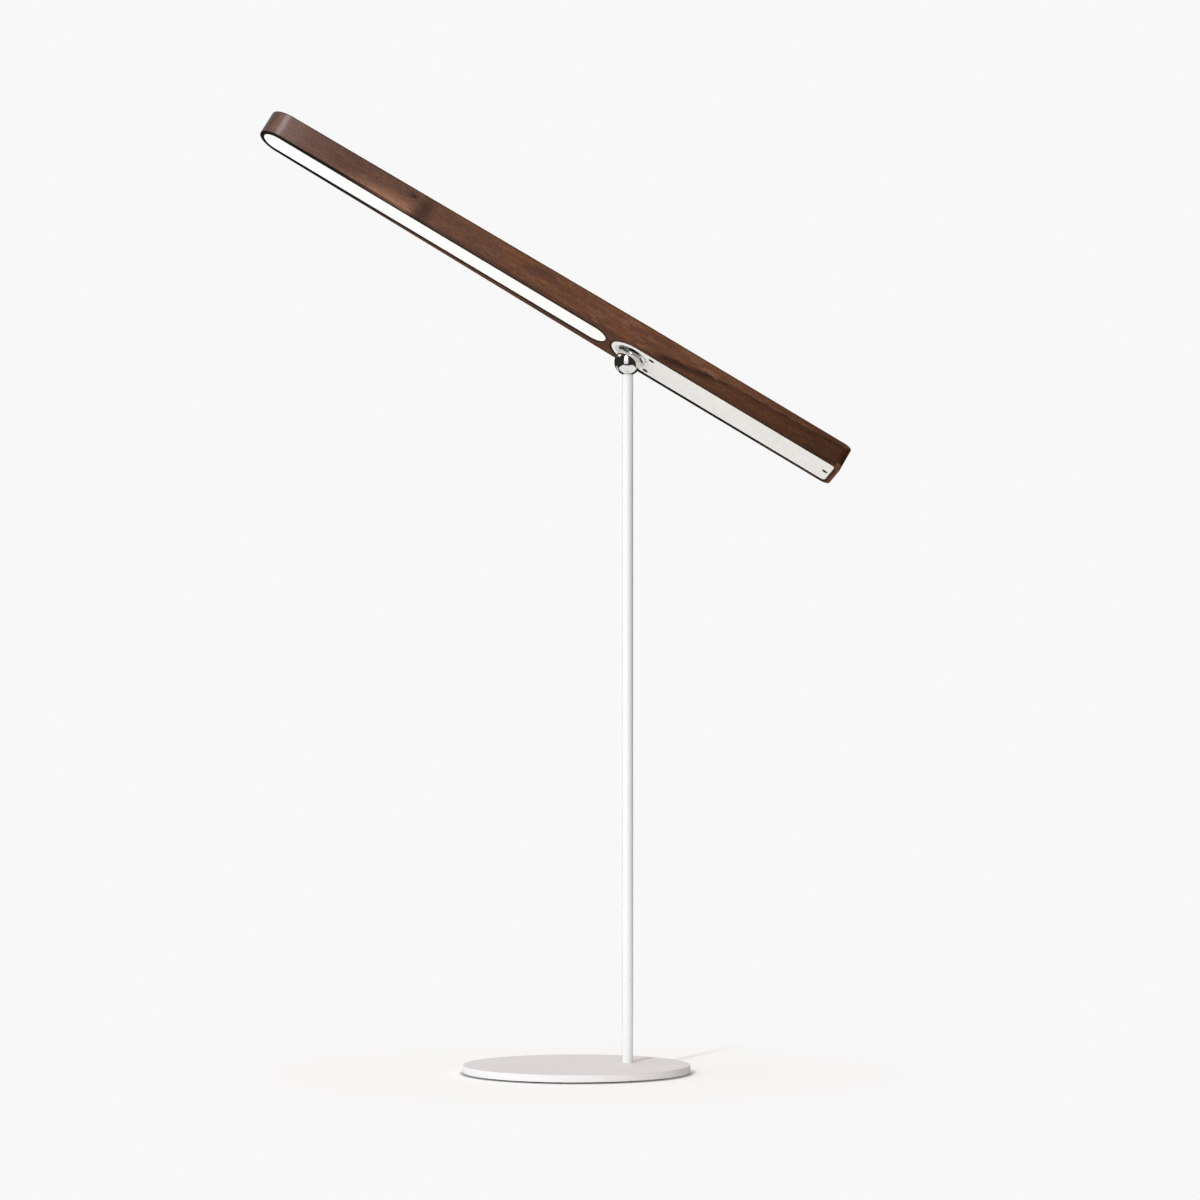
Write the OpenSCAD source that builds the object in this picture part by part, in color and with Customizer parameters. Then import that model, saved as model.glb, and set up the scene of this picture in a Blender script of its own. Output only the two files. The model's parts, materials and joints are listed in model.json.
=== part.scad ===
// Cordless table lamp: a walnut light bar that tilts on a steel ball at the top of a slim stem.
// All sizes are in millimetres. The table is the plane z = 0 and the base is centred on the z axis.

/* [Base] */
// Diameter of the round base plate
base_diameter = 126; // [110:1:160]
// Thickness of the base plate
base_thickness = 4; // [3.6:0.2:7]
// Round-over on both rims of the base plate
base_edge = 0.4; // [0.3:0.1:1.4]
// Thickness of the grip pad under the base plate
pad_thickness = 1.2; // [0.8:0.1:2]
// Depth of the shallow seat that holds the grip pad
pad_seat = 0.4; // [0.2:0.1:0.6]
// Distance from the rim of the base plate to the seat of the pad
pad_inset = 4.2; // [3:0.2:8]

/* [Stem] */
// Diameter of the stem
stem_diameter = 6; // [5.6:0.2:7]
// Distance of the stem from the centre of the base
stem_offset = 31; // [15:1:42]
// Direction of the stem from the centre of the base, in degrees from +X
stem_heading = 23.5; // [0:0.5:360]
// Depth of the seat for the foot of the stem
stem_seat = 1; // [0.6:0.1:1.3]
// Diameter of the screw that holds the stem to the base
stem_screw_diameter = 4; // [3:0.5:4]
// Diameter of the countersunk head of that screw
stem_screw_head = 8; // [7:0.2:8.4]
// Length of that screw inside the stem
stem_screw_reach = 11; // [8:0.5:20]
// Width across the flats of its socket
stem_screw_key = 2.5; // [2:0.5:2.5]
// Depth of its socket
stem_screw_key_depth = 1.2; // [0.8:0.1:1.6]

/* [Ball joint] */
// Height of the centre of the ball above the table
ball_height = 394; // [300:1:430]
// Diameter of the ball
ball_diameter = 15; // [14:0.5:16]
// Diameter of the stud between stem and ball
stud_diameter = 3; // [2:0.5:3]
// Length of the stud inside the stem
stud_reach = 8; // [5:0.5:15]
// Depth of the bore in the ball
ball_bore_depth = 6; // [4:0.5:8]
// Distance from the centre of the ball up to the underside of the light bar
seat_drop = 4.3; // [4.2:0.1:5]
// Diameter of the dished cup where it shows
cup_diameter = 17; // [16.4:0.2:18]
// Diameter of the mouth of the dish
cup_mouth = 16; // [14:0.2:16.2]
// Depth of the flare around the dish
cup_flare = 1; // [0.6:0.1:1.2]
// Height of the cup
cup_height = 4.4; // [4:0.1:4.8]
// Width of the flange that the cover plate keeps in
cup_flange = 1.1; // [0.6:0.1:1.2]
// Diameter of the magnet
magnet_diameter = 14; // [10:0.5:15]
// Height of the magnet
magnet_height = 3.5; // [2:0.5:3.5]
// Wall of the steel pot around the magnet
pot_wall = 1.2; // [0.8:0.1:1.5]

/* [Rest pose] */
// Direction that the top of the light bar leans to, in degrees from +X
lean_heading = 32.3; // [0:0.1:360]
// Lean of the light bar away from level
lean_angle = 34.6; // [0:0.1:85]
// Turn of the light bar about the axis of the cup
bar_turn = -25.6; // [-180:0.1:180]

/* [Light bar] */
// Length of the lit end, from the ball axis to the tip
long_reach = 240; // [200:1:280]
// Length of the battery end, from the ball axis to the heel
short_reach = 131.6; // [130:0.2:160]
// Width of the battery end
bar_width = 33.6; // [33.2:0.2:40]
// Thickness of the light bar
bar_height = 14.2; // [13.4:0.1:18]
// Diameter of the round tip
tip_diameter = 23.8; // [23:0.2:28]
// Corner radius of the heel
heel_corner = 5; // [3:0.5:8]

/* [Light] */
// Width of the diffuser strip
diffuser_width = 16.4; // [16:0.2:17.6]
// Thickness of the diffuser strip
diffuser_thickness = 2; // [1.5:0.1:3]
// Wood between the diffuser and the tip
tip_rim = 2.7; // [2.4:0.1:5]
// Distance from the ball axis to the near end of the diffuser
diffuser_setback = 17.1; // [17:0.1:24]
// Width of the ledge that the diffuser lies on
diffuser_ledge = 1.5; // [1:0.1:1.6]
// Depth of the light channel
channel_depth = 9; // [8.4:0.1:10]
// Thickness of the heat spreader
spreader_thickness = 1.5; // [1:0.1:2]
// Width of the heat spreader
spreader_width = 12.4; // [11:0.2:12.6]
// Thickness of the light board
led_board_thickness = 1; // [0.8:0.1:1.2]
// Width of the light board
led_board_width = 10; // [8:0.2:10.8]
// Distance from the ends of the channel to the heat spreader and its board
led_board_inset = 5; // [4.8:0.1:8]
// Length of one light chip
led_length = 3.5; // [2:0.1:4]
// Width of one light chip
led_width = 2.8; // [1.6:0.1:3]
// Height of one light chip
led_height = 0.8; // [0.5:0.1:1]
// Spacing of the light chips
led_pitch = 8.5; // [6:0.5:20]

/* [Cover plate] */
// Width of the cover plate
cover_width = 27.2; // [26.8:0.2:27.6]
// Distance from the ball axis to the round end of the cover plate
cover_lead = 13; // [12.8:0.1:13.4]
// Thickness of the cover plate
cover_thickness = 2; // [1.8:0.1:2.2]
// Wood between the cover plate and the heel
heel_rim = 3; // [2.6:0.1:4]
// Corner radius at the heel end of the cover plate
cover_corner = 2.6; // [1.5:0.1:4]
// Distance of the pair of screws from the ball axis
pair_setback = 10.9; // [10.7:0.1:11.2]
// Distance between the pair of screws
pair_spread = 18; // [17.6:0.1:18.2]
// Distance of the single screw from the heel end of the cover plate
heel_screw_inset = 3.3; // [2.8:0.1:3.6]
// Thread diameter of the cover screws
screw_diameter = 2; // [1.6:0.2:2]
// Head diameter of the cover screws
screw_head = 3.8; // [3.2:0.1:4]
// Height of the countersunk heads
screw_head_height = 1; // [0.8:0.1:1.2]
// Length of the cover screws
screw_length = 6; // [5:0.5:7]
// Width across the flats of the sockets in the screws
screw_key = 1.3; // [0.9:0.1:1.5]
// Depth of the sockets in the screws
screw_key_depth = 0.7; // [0.4:0.1:0.8]
// Wall of the threaded inserts in the wood
insert_wall = 0.4; // [0.3:0.05:0.45]
// Length of the threaded inserts
insert_length = 5; // [3:0.5:6]

/* [Battery and control] */
// Distance from the ball axis to the battery compartment
compartment_start = 18; // [17:0.5:20]
// Width of the compartment
compartment_width = 24.6; // [24.4:0.1:25]
// Depth of the compartment below the underside
compartment_depth = 10.3; // [10:0.1:10.8]
// Radius of the milling cutter in the corners of the compartment
cutter_radius = 2; // [1:0.5:2.5]
// Room for the wires between the battery cell's safety board and the control board
wire_room = 8; // [7:0.5:40]
// Width of the battery cell
battery_width = 18; // [12:0.5:19]
// Corner radius of the battery cell
battery_corner = 1.6; // [0.5:0.1:2]
// Gap between the battery cell and the compartment's end and side
battery_gap = 0.6; // [0.4:0.1:1]
// Gap between the battery cell and the cover plate
battery_clearance = 0.3; // [0.2:0.1:0.6]
// Thickness of the foam strip above the battery cell
foam_thickness = 1; // [0.5:0.1:1.5]
// Distance of the foam strip from the edges of the battery cell
foam_inset = 2; // [1:0.5:4]
// Length of the cell's safety board
safety_length = 3; // [2:0.5:4]
// Thickness of the cell's safety board and its tape
safety_thickness = 4; // [3:0.5:5]
// Length of the control board
board_length = 21; // [20.5:0.5:22]
// Thickness of the control board
board_thickness = 1.2; // [0.8:0.1:1.6]
// Gap between the control board and the compartment's walls
board_gap = 0.4; // [0.3:0.1:0.6]
// Height of the posts that the control board is screwed to
post_height = 3.5; // [3.4:0.1:3.8]
// Diameter of those posts
post_diameter = 4.4; // [4:0.1:5]
// Distance of those posts from the edges of the control board
post_inset = 3; // [2.6:0.1:3.4]
// Head diameter of the board screws
board_screw_head = 3.6; // [3:0.1:4]
// Head height of the board screws
board_screw_head_height = 1.4; // [1:0.1:1.6]
// Length of the board screws in the posts
board_screw_reach = 3; // [2:0.1:3.2]
// Length of the wooden boss behind the single screw
boss_length = 7.6; // [7:0.1:8]

/* [Control parts] */
// Length, width and height of the choke coil
choke_size = [5, 5, 2.4]; // [1:0.1:5]
// Length, width and height of the driver chip
driver_size = [5, 4, 1]; // [0.8:0.1:5]
// Length, width and height of the charging chip
charge_size = [3, 3, 0.9]; // [0.8:0.1:4]
// Length, width and height of one capacitor
capacitor_size = [1.2, 2, 1.2]; // [0.6:0.1:2]
// Number of capacitors
capacitor_count = 3; // [1:1:3]
// Gap between the parts on the control board
part_gap = 1; // [0.8:0.1:1.2]

/* [Charging inlet] */
// Width of the charging socket
usb_width = 9; // [8.8:0.1:9]
// Height of the charging socket
usb_height = 3.2; // [3:0.1:3.3]
// Length of the charging socket
usb_length = 7.4; // [7:0.1:8]
// Wall of the charging socket's shell
usb_wall = 0.35; // [0.25:0.05:0.45]
// Sideways place of the charging socket
usb_side = 7.5; // [7.4:0.1:7.6]
// Gap around the charging socket in the wood
usb_gap = 0.15; // [0.1:0.05:0.2]
// Wood between the bay of the charging socket and the heel
bay_wall = 4.3; // [4:0.1:5]
// Corner radius of that bay
bay_corner = 1; // [0.5:0.1:1.2]
// Width of the tongue in the charging socket
tongue_width = 6.7; // [6:0.1:7]
// Thickness of the tongue
tongue_thickness = 0.7; // [0.6:0.1:0.9]
// Length of the tongue
tongue_length = 5; // [4:0.1:6]

/* [Touch control] */
// Diameter of the copper sensing foil under the wood
foil_diameter = 12; // [8:0.5:14]
// Thickness of the foil
foil_thickness = 0.2; // [0.1:0.05:0.3]
// Diameter of the contact pin under the foil
pin_diameter = 1.8; // [1.2:0.1:2.4]

/* [Wires] */
// Thickness of the flat two-core lead to the light board
lead_thickness = 0.9; // [0.7:0.05:0.95]
// Height of that lead
lead_height = 2; // [1.6:0.1:2.1]
// Diameter of the battery wires
battery_wire_diameter = 1.2; // [0.8:0.1:1.4]
// Width of the groove for the lead
groove_width = 1.4; // [1.3:0.05:1.45]
// Depth of the groove under the cover plate
groove_depth = 2.6; // [2.5:0.05:2.8]
// Distance between the battery wires
battery_wire_spread = 5; // [3:0.5:8]
// Distance of the lead from the ends of the boards that it is soldered to
lead_inset = 3; // [2:0.1:5]

/* [Hidden] */
// Clearance around screws, studs and the foot of the stem
thread_gap = 0.05;
// Running clearance of the ball on its stud and in the cup
run_gap = 0.05;
// Clearance between the cup and the parts that it turns in
cup_gap = 0.1;
// Clearance around the diffuser and the cover plate
seam_gap = 0.3;
// Clearance around the pad, around the cup and its pot, and at the ends of blind holes
seat_gap = 0.2;
// Extra length of a cut that runs out of a face
cut = 1;
// Depth inside the round tip at which the tapering sides start
shoulder_depth = 0.02;
// Extra size of the beads at the bends of the wires
bead = 0.04;

$fn = 96;

// Base and stem
base_radius = base_diameter / 2;
base_bottom = pad_thickness - pad_seat;
base_top = base_bottom + base_thickness;
pad_seat_radius = base_radius - pad_inset;
stem_x = stem_offset * cos(stem_heading);
stem_y = stem_offset * sin(stem_heading);
stem_foot = base_top - stem_seat;
stem_radius = stem_diameter / 2;
ball_radius = ball_diameter / 2;
ball_flat = sqrt(pow(ball_radius, 2) - pow(stem_radius, 2));
stem_top = ball_height - ball_flat - run_gap;
stem_screw_head_height = (stem_screw_head - stem_screw_diameter) / 2;
stem_hole_radius = stem_screw_diameter / 2 + thread_gap;

// Cup and magnet
dish_radius = ball_radius + run_gap;
flare_radius = sqrt(pow(dish_radius, 2) - pow(seat_drop + cup_flare, 2));
flare_slope = (cup_mouth / 2 - flare_radius) / cup_flare;
flange_radius = cup_diameter / 2 + cup_flange;
cup_bore_radius = flange_radius + seat_gap;
pot_radius = magnet_diameter / 2 + thread_gap + pot_wall;
pot_top = cup_height + magnet_height + pot_wall;
cup_bore_depth = pot_top + seat_gap;

// Plan of the light bar
bar_half = bar_width / 2;
tip_radius = tip_diameter / 2;
tip_centre = long_reach - tip_radius;
tip_shoulder = tip_radius - shoulder_depth;

// Light
diffuser_tip = long_reach - tip_rim;
diffuser_radius = diffuser_width / 2;
channel_radius = diffuser_radius - diffuser_ledge;
led_start = -(diffuser_tip - diffuser_ledge - led_board_inset);
led_end = -(diffuser_setback + diffuser_ledge + led_board_inset);
led_board_back = channel_depth - spreader_thickness;
led_board_face = led_board_back - led_board_thickness;
led_count = floor((led_end - led_start - led_length) / led_pitch);
led_row_start = (led_start + led_end - (led_count - 1) * led_pitch) / 2;

// Cover plate and its screws
cover_radius = cover_width / 2;
cover_nose = cover_radius - cover_lead;
cover_end = short_reach - heel_rim;
screw_places = [
    [pair_setback, -pair_spread / 2],
    [pair_setback, pair_spread / 2],
    [cover_end - heel_screw_inset, 0]
];
screw_hole_radius = screw_diameter / 2 + thread_gap;
insert_radius = screw_hole_radius + insert_wall;

// Compartment
compartment_half = compartment_width / 2;
boss_start = cover_end - boss_length;
bay_end = short_reach - bay_wall;
board_top = compartment_depth - post_height;
board_bottom = board_top - board_thickness;
board_end = boss_start - board_gap;
board_start = board_end - board_length;
board_half = compartment_half - board_gap;
safety_end = board_start - wire_room;
battery_start = compartment_start + battery_gap;
battery_end = safety_end - safety_length;
battery_length = battery_end - battery_start;
battery_low = cover_thickness + battery_clearance;
battery_high = compartment_depth - foam_thickness;
battery_thickness = battery_high - battery_low;
battery_near = -compartment_half + battery_gap;
parts_start = board_start + 2 * post_inset;
post_places = [
    [board_start + post_inset, -board_half + post_inset],
    [board_end - post_inset, -board_half + post_inset]
];

// Charging inlet and touch control
usb_inner = short_reach - usb_length;
usb_middle = board_top + usb_height / 2;
bay_low = usb_side - usb_width / 2 - usb_gap;
foil_place = [(board_start + board_end) / 2, 0];
foil_bottom = compartment_depth - foil_thickness;

// Wires
groove_radius = compartment_half - groove_width / 2;
groove_end_angle = 155;
lead_low = cover_thickness + (groove_depth - lead_height) / 2;
lead_led_end = led_end - lead_inset;
lead_board_end = board_start + lead_inset;
tunnel_side = groove_radius * sin(groove_end_angle);
tunnel_mouth = groove_radius * cos(groove_end_angle);
tunnel_radius = groove_depth / 2;
tunnel_length = diffuser_setback + diffuser_ledge + channel_radius + tunnel_mouth;

// Places its children at the foot of the stem, on the plane of the table
module at_stem() {
    translate([stem_x, stem_y, 0]) children();
}

// Places its children in the light bar: x runs to the heel, z runs from the underside to the top
module in_bar() {
    translate([stem_x, stem_y, ball_height])
        rotate([0, 0, lean_heading])
            rotate([0, lean_angle, 0])
                rotate([0, 0, bar_turn])
                    translate([0, 0, seat_drop])
                        children();
}

// Strip with two round ends
module strip(low, high, radius) {
    translate([low + radius, -radius]) square([high - low - 2 * radius, 2 * radius]);
    for (x = [low + radius, high - radius])
        translate([x, 0]) circle(radius);
}

// Rectangle with four round corners
module round_rectangle(low, high, radius) {
    size = high - low;
    translate(low + [radius, 0]) square([size.x - 2 * radius, size.y]);
    translate(low + [0, radius]) square([size.x, size.y - 2 * radius]);
    for (x = [low.x + radius, high.x - radius], y = [low.y + radius, high.y - radius])
        translate([x, y]) circle(radius);
}

// Plan of the wooden bar: a round tip, tapering sides and a heel with round corners
module bar_plan() {
    translate([-tip_centre, 0]) circle(tip_radius);
    polygon([
        [-tip_centre, -tip_shoulder],
        [0, -bar_half],
        [short_reach - heel_corner, -bar_half],
        [short_reach - heel_corner, bar_half],
        [0, bar_half],
        [-tip_centre, tip_shoulder]
    ]);
    translate([0, heel_corner - bar_half]) square([short_reach, bar_width - 2 * heel_corner]);
    for (side = [-1, 1])
        translate([short_reach - heel_corner, side * (bar_half - heel_corner)]) circle(heel_corner);
}

// Plan of the cover plate, grown by a gap: a round end around the cup and a square heel end
module cover_plan(gap) {
    radius = cover_radius + gap;
    corner = cover_corner + gap;
    end = cover_end + gap;
    translate([cover_nose, 0]) circle(radius);
    translate([cover_nose, -radius]) square([end - corner - cover_nose, 2 * radius]);
    translate([cover_nose, corner - radius]) square([end - cover_nose, 2 * (radius - corner)]);
    for (side = [-1, 1])
        translate([end - corner, side * (radius - corner)]) circle(corner);
}

// Plan of the battery compartment and the bay beside the boss for the charging socket
module compartment_plan() {
    round_rectangle(
        [compartment_start, -compartment_half],
        [boss_start, compartment_half],
        cutter_radius
    );
    round_rectangle(
        [boss_start - 2 * cutter_radius, bay_low],
        [bay_end, compartment_half],
        bay_corner
    );
    translate([boss_start - 2 * cutter_radius, compartment_half - 2 * cutter_radius])
        square(2 * cutter_radius);
}

// Prism along the bar with the outline of the charging socket, grown by a gap
module usb_prism(start, end, gap) {
    radius = usb_height / 2 + gap;
    translate([start, usb_side, usb_middle])
        rotate([90, 0, 90])
            linear_extrude(end - start)
                strip(-usb_width / 2 - gap, usb_width / 2 + gap, radius);
}

// Countersunk screw that points up from z = 0, with a hexagonal socket in its head
module countersunk_screw(thread, head, head_height, length, key, key_depth) {
    difference() {
        union() {
            cylinder(d1 = head, d2 = thread, h = head_height);
            cylinder(d = thread, h = length);
        }
        translate([0, 0, -cut])
            cylinder(d = key / cos(30), h = key_depth + cut, $fn = 6);
    }
}

// Countersunk hole through a plate that starts at z = 0
module countersunk_hole(thread, head, head_height, depth) {
    slope = (head - thread) / 2 / head_height;
    translate([0, 0, -cut])
        cylinder(
            r1 = head / 2 + thread_gap + cut * slope,
            r2 = thread / 2 + thread_gap,
            h = head_height + cut
        );
    translate([0, 0, -cut])
        cylinder(r = thread / 2 + thread_gap, h = depth + 2 * cut);
}

// Straight length of wire between two points
module wire_length(from, to, diameter) {
    along = to - from;
    translate(from)
        rotate([0, acos(along.z / norm(along)), atan2(along.y, along.x)])
            cylinder(d = diameter, h = norm(along));
}

// Wire through a list of points, with beads at its bends
module wire(points, diameter) {
    for (i = [0 : len(points) - 2])
        wire_length(points[i], points[i + 1], diameter);
    for (i = [1 : len(points) - 2])
        translate(points[i]) sphere(d = diameter + bead);
}

// Sector of the groove round the cup, from the long side of the compartment to the tunnel
module groove_sector() {
    rotate([0, 0, 90]) rotate_extrude(angle = groove_end_angle - 90) children();
}

// Straight piece of the flat lead, between two places along the bar and two heights
module lead_piece(from, to, side, low, high) {
    translate([from, side - lead_thickness / 2, low])
        cube([to - from, lead_thickness, high - low]);
}

// Battery wire: from the safety board to the underside of the control board
module battery_wire(side) {
    height = battery_low + safety_thickness / 2;
    place = battery_near + battery_width / 2 + side * battery_wire_spread / 2;
    turn = board_start + post_inset;
    route = [
        [safety_end, place, height],
        [turn, place, height],
        [turn, place, board_bottom]
    ];
    in_bar() wire(route, battery_wire_diameter);
}

// Electronic part that hangs under the control board
module board_part(place, size) {
    in_bar()
        translate([place.x - size.x / 2, place.y - size.y / 2, board_bottom - size.z])
            cube(size);
}

module base_plate() {
    color("whitesmoke") difference() {
        translate([0, 0, base_bottom]) rotate_extrude() {
            square([base_radius - base_edge, base_thickness]);
            translate([0, base_edge])
                square([base_radius, base_thickness - 2 * base_edge]);
            for (z = [base_edge, base_thickness - base_edge])
                translate([base_radius - base_edge, z]) circle(base_edge);
        }
        translate([0, 0, base_bottom - cut])
            cylinder(r = pad_seat_radius, h = pad_seat + cut);
        at_stem() {
            translate([0, 0, stem_foot])
                cylinder(r = stem_radius + thread_gap, h = stem_seat + cut);
            translate([0, 0, pad_thickness])
                countersunk_hole(
                    stem_screw_diameter, stem_screw_head, stem_screw_head_height, base_thickness
                );
        }
    }
}

module base_pad() {
    color("dimgray") cylinder(r = pad_seat_radius - seat_gap, h = pad_thickness);
}

module stem() {
    color("ivory") at_stem() difference() {
        translate([0, 0, stem_foot])
            cylinder(r = stem_radius, h = stem_top - stem_foot);
        translate([0, 0, stem_foot - cut])
            cylinder(r = stem_hole_radius, h = stem_screw_reach + 2 * cut);
        translate([0, 0, stem_top - stud_reach])
            cylinder(r = stud_diameter / 2 + thread_gap, h = stud_reach + cut);
    }
}

module stem_screw() {
    color("silver") at_stem() translate([0, 0, pad_thickness])
        countersunk_screw(
            stem_screw_diameter, stem_screw_head, stem_screw_head_height,
            stem_foot - pad_thickness + stem_screw_reach,
            stem_screw_key, stem_screw_key_depth
        );
}

module ball_stud() {
    color("silver") at_stem() translate([0, 0, stem_top - stud_reach])
        cylinder(d = stud_diameter, h = stud_reach + ball_bore_depth - seat_gap);
}

module joint_ball() {
    color("gainsboro") translate([stem_x, stem_y, ball_height]) difference() {
        sphere(ball_radius);
        translate([-ball_radius, -ball_radius, -ball_flat - ball_radius])
            cube([ball_diameter, ball_diameter, ball_radius]);
        translate([0, 0, -ball_flat - cut])
            cylinder(r = stud_diameter / 2 + run_gap, h = ball_bore_depth + cut);
    }
}

module joint_cup() {
    color("gainsboro") in_bar() difference() {
        union() {
            cylinder(d = cup_diameter, h = cup_height);
            translate([0, 0, cover_thickness + cup_gap])
                cylinder(r = flange_radius, h = cup_height - cover_thickness - cup_gap);
        }
        translate([0, 0, -seat_drop]) sphere(dish_radius);
        translate([0, 0, -cut])
            cylinder(
                r1 = cup_mouth / 2 + cut * flare_slope,
                r2 = flare_radius,
                h = cup_flare + cut
            );
    }
}

module cup_magnet() {
    color("gray") in_bar() translate([0, 0, cup_height])
        cylinder(d = magnet_diameter, h = magnet_height);
}

module magnet_pot() {
    color("darkgray") in_bar() difference() {
        translate([0, 0, cup_height])
            cylinder(r = pot_radius, h = pot_top - cup_height);
        translate([0, 0, cup_height - cut])
            cylinder(r = magnet_diameter / 2 + thread_gap, h = magnet_height + cut);
    }
}

module wooden_bar() {
    color("saddlebrown") in_bar() difference() {
        linear_extrude(bar_height) bar_plan();
        // Seat of the diffuser and the light channel behind it
        translate([0, 0, -cut]) linear_extrude(diffuser_thickness + cut)
            strip(
                -diffuser_tip - seam_gap,
                -diffuser_setback + seam_gap,
                diffuser_radius + seam_gap
            );
        translate([0, 0, -cut]) linear_extrude(channel_depth + cut)
            strip(
                -diffuser_tip + diffuser_ledge,
                -diffuser_setback - diffuser_ledge,
                channel_radius
            );
        // Seat of the cover plate and the bore for the cup
        translate([0, 0, -cut]) linear_extrude(cover_thickness + cut) cover_plan(seam_gap);
        translate([0, 0, -cut]) cylinder(r = cup_bore_radius, h = cup_bore_depth + cut);
        // Compartment, with two posts left standing for the control board
        difference() {
            translate([0, 0, -cut]) linear_extrude(compartment_depth + cut) compartment_plan();
            for (place = post_places)
                translate([place.x, place.y, board_top])
                    cylinder(d = post_diameter, h = post_height + cut);
        }
        for (place = post_places)
            translate([place.x, place.y, board_top - cut])
                cylinder(r = screw_hole_radius, h = board_screw_reach + seat_gap + cut);
        for (place = screw_places)
            translate([place.x, place.y, 0])
                cylinder(r = insert_radius, h = cover_thickness + insert_length);
        usb_prism(bay_end - bay_corner, short_reach + cut, usb_gap);
        // Groove and tunnel for the lead to the light board
        translate([0, 0, cover_thickness - cut]) groove_sector()
            translate([groove_radius - groove_width / 2, 0])
                square([groove_width, groove_depth + cut]);
        translate([0, groove_radius - groove_width / 2, cover_thickness - cut])
            cube([compartment_start + cutter_radius, groove_width, groove_depth + cut]);
        translate([tunnel_mouth, tunnel_side, cover_thickness - cut])
            cylinder(d = groove_width, h = groove_depth + cut);
        translate([tunnel_mouth, tunnel_side, cover_thickness + tunnel_radius])
            rotate([0, -90, 0])
                cylinder(r = tunnel_radius, h = tunnel_length);
    }
}

module diffuser() {
    color("white") in_bar() linear_extrude(diffuser_thickness)
        strip(-diffuser_tip, -diffuser_setback, diffuser_radius);
}

module heat_spreader() {
    color("lightgray") in_bar() translate([led_start, -spreader_width / 2, led_board_back])
        cube([led_end - led_start, spreader_width, spreader_thickness]);
}

module led_board() {
    color("mintcream") in_bar() translate([led_start, -led_board_width / 2, led_board_face])
        cube([led_end - led_start, led_board_width, led_board_thickness]);
}

module led_chips() {
    color("khaki") in_bar() for (i = [0 : led_count - 1])
        translate([
            led_row_start + i * led_pitch - led_length / 2,
            -led_width / 2,
            led_board_face - led_height
        ])
            cube([led_length, led_width, led_height]);
}

module cover_plate() {
    color("linen") in_bar() difference() {
        linear_extrude(cover_thickness) cover_plan(0);
        translate([0, 0, -cut])
            cylinder(r = cup_diameter / 2 + cup_gap, h = cover_thickness + 2 * cut);
        for (place = screw_places)
            translate([place.x, place.y, 0])
                countersunk_hole(screw_diameter, screw_head, screw_head_height, cover_thickness);
    }
}

module cover_screws() {
    color("black") in_bar() for (place = screw_places)
        translate([place.x, place.y, 0])
            countersunk_screw(
                screw_diameter, screw_head, screw_head_height, screw_length,
                screw_key, screw_key_depth
            );
}

module screw_inserts() {
    color("goldenrod") in_bar() for (place = screw_places)
        translate([place.x, place.y, cover_thickness]) difference() {
            cylinder(r = insert_radius, h = insert_length);
            translate([0, 0, -cut])
                cylinder(r = screw_hole_radius, h = insert_length + 2 * cut);
        }
}

module battery_cell() {
    color("lightsteelblue") in_bar()
        translate([battery_start, battery_near, battery_low])
            rotate([90, 0, 90])
                linear_extrude(battery_length)
                    round_rectangle([0, 0], [battery_width, battery_thickness], battery_corner);
}

module safety_board() {
    color("darkgoldenrod") in_bar()
        translate([battery_end, battery_near + battery_corner, battery_low])
            cube([safety_length, battery_width - 2 * battery_corner, safety_thickness]);
}

module battery_foam() {
    color("slategray") in_bar()
        translate([battery_start + foam_inset, battery_near + foam_inset, battery_high])
            cube([
                battery_length - 2 * foam_inset,
                battery_width - 2 * foam_inset,
                foam_thickness
            ]);
}

module control_board() {
    bay_edge = bay_low + board_gap;
    color("darkgreen") in_bar() difference() {
        translate([0, 0, board_bottom]) linear_extrude(board_thickness) {
            round_rectangle(
                [board_start, -board_half],
                [board_end, board_half],
                cutter_radius - board_gap
            );
            translate([foil_place.x, bay_edge])
                square([bay_end - board_gap - foil_place.x, board_half - bay_edge]);
        }
        for (place = post_places)
            translate([place.x, place.y, board_bottom - cut])
                cylinder(r = screw_hole_radius, h = board_thickness + 2 * cut);
    }
}

module board_screws() {
    color("silver") in_bar() for (place = post_places)
        translate([place.x, place.y, board_bottom]) {
            translate([0, 0, -board_screw_head_height])
                cylinder(d = board_screw_head, h = board_screw_head_height);
            cylinder(d = screw_diameter, h = board_thickness + board_screw_reach);
        }
}

module driver_chip() {
    row = (choke_size.y + driver_size.y) / 2 + part_gap;
    color("black") board_part([parts_start + driver_size.x / 2, row], driver_size);
}

module charge_chip() {
    color("black") board_part([board_end, usb_side], charge_size);
}

module choke_coil() {
    color("dimgray") board_part([parts_start + choke_size.x / 2, 0], choke_size);
}

module capacitors() {
    pitch = capacitor_size.x + part_gap;
    first = parts_start + choke_size.x + part_gap + capacitor_size.x / 2;
    color("tan") for (i = [0 : capacitor_count - 1])
        board_part([first + i * pitch, 0], capacitor_size);
}

module usb_socket() {
    color("silver") in_bar() difference() {
        usb_prism(usb_inner, short_reach, 0);
        usb_prism(usb_inner + usb_wall, short_reach + cut, -usb_wall);
    }
}

module usb_tongue() {
    color("black") in_bar()
        translate([usb_inner + usb_wall, usb_side - tongue_width / 2, usb_middle - tongue_thickness / 2])
            cube([tongue_length, tongue_width, tongue_thickness]);
}

module touch_foil() {
    color("peru") in_bar() translate([foil_place.x, foil_place.y, foil_bottom])
        cylinder(d = foil_diameter, h = foil_thickness);
}

module touch_pin() {
    color("gold") in_bar() translate([foil_place.x, foil_place.y, board_top])
        cylinder(d = pin_diameter, h = foil_bottom - board_top);
}

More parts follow.
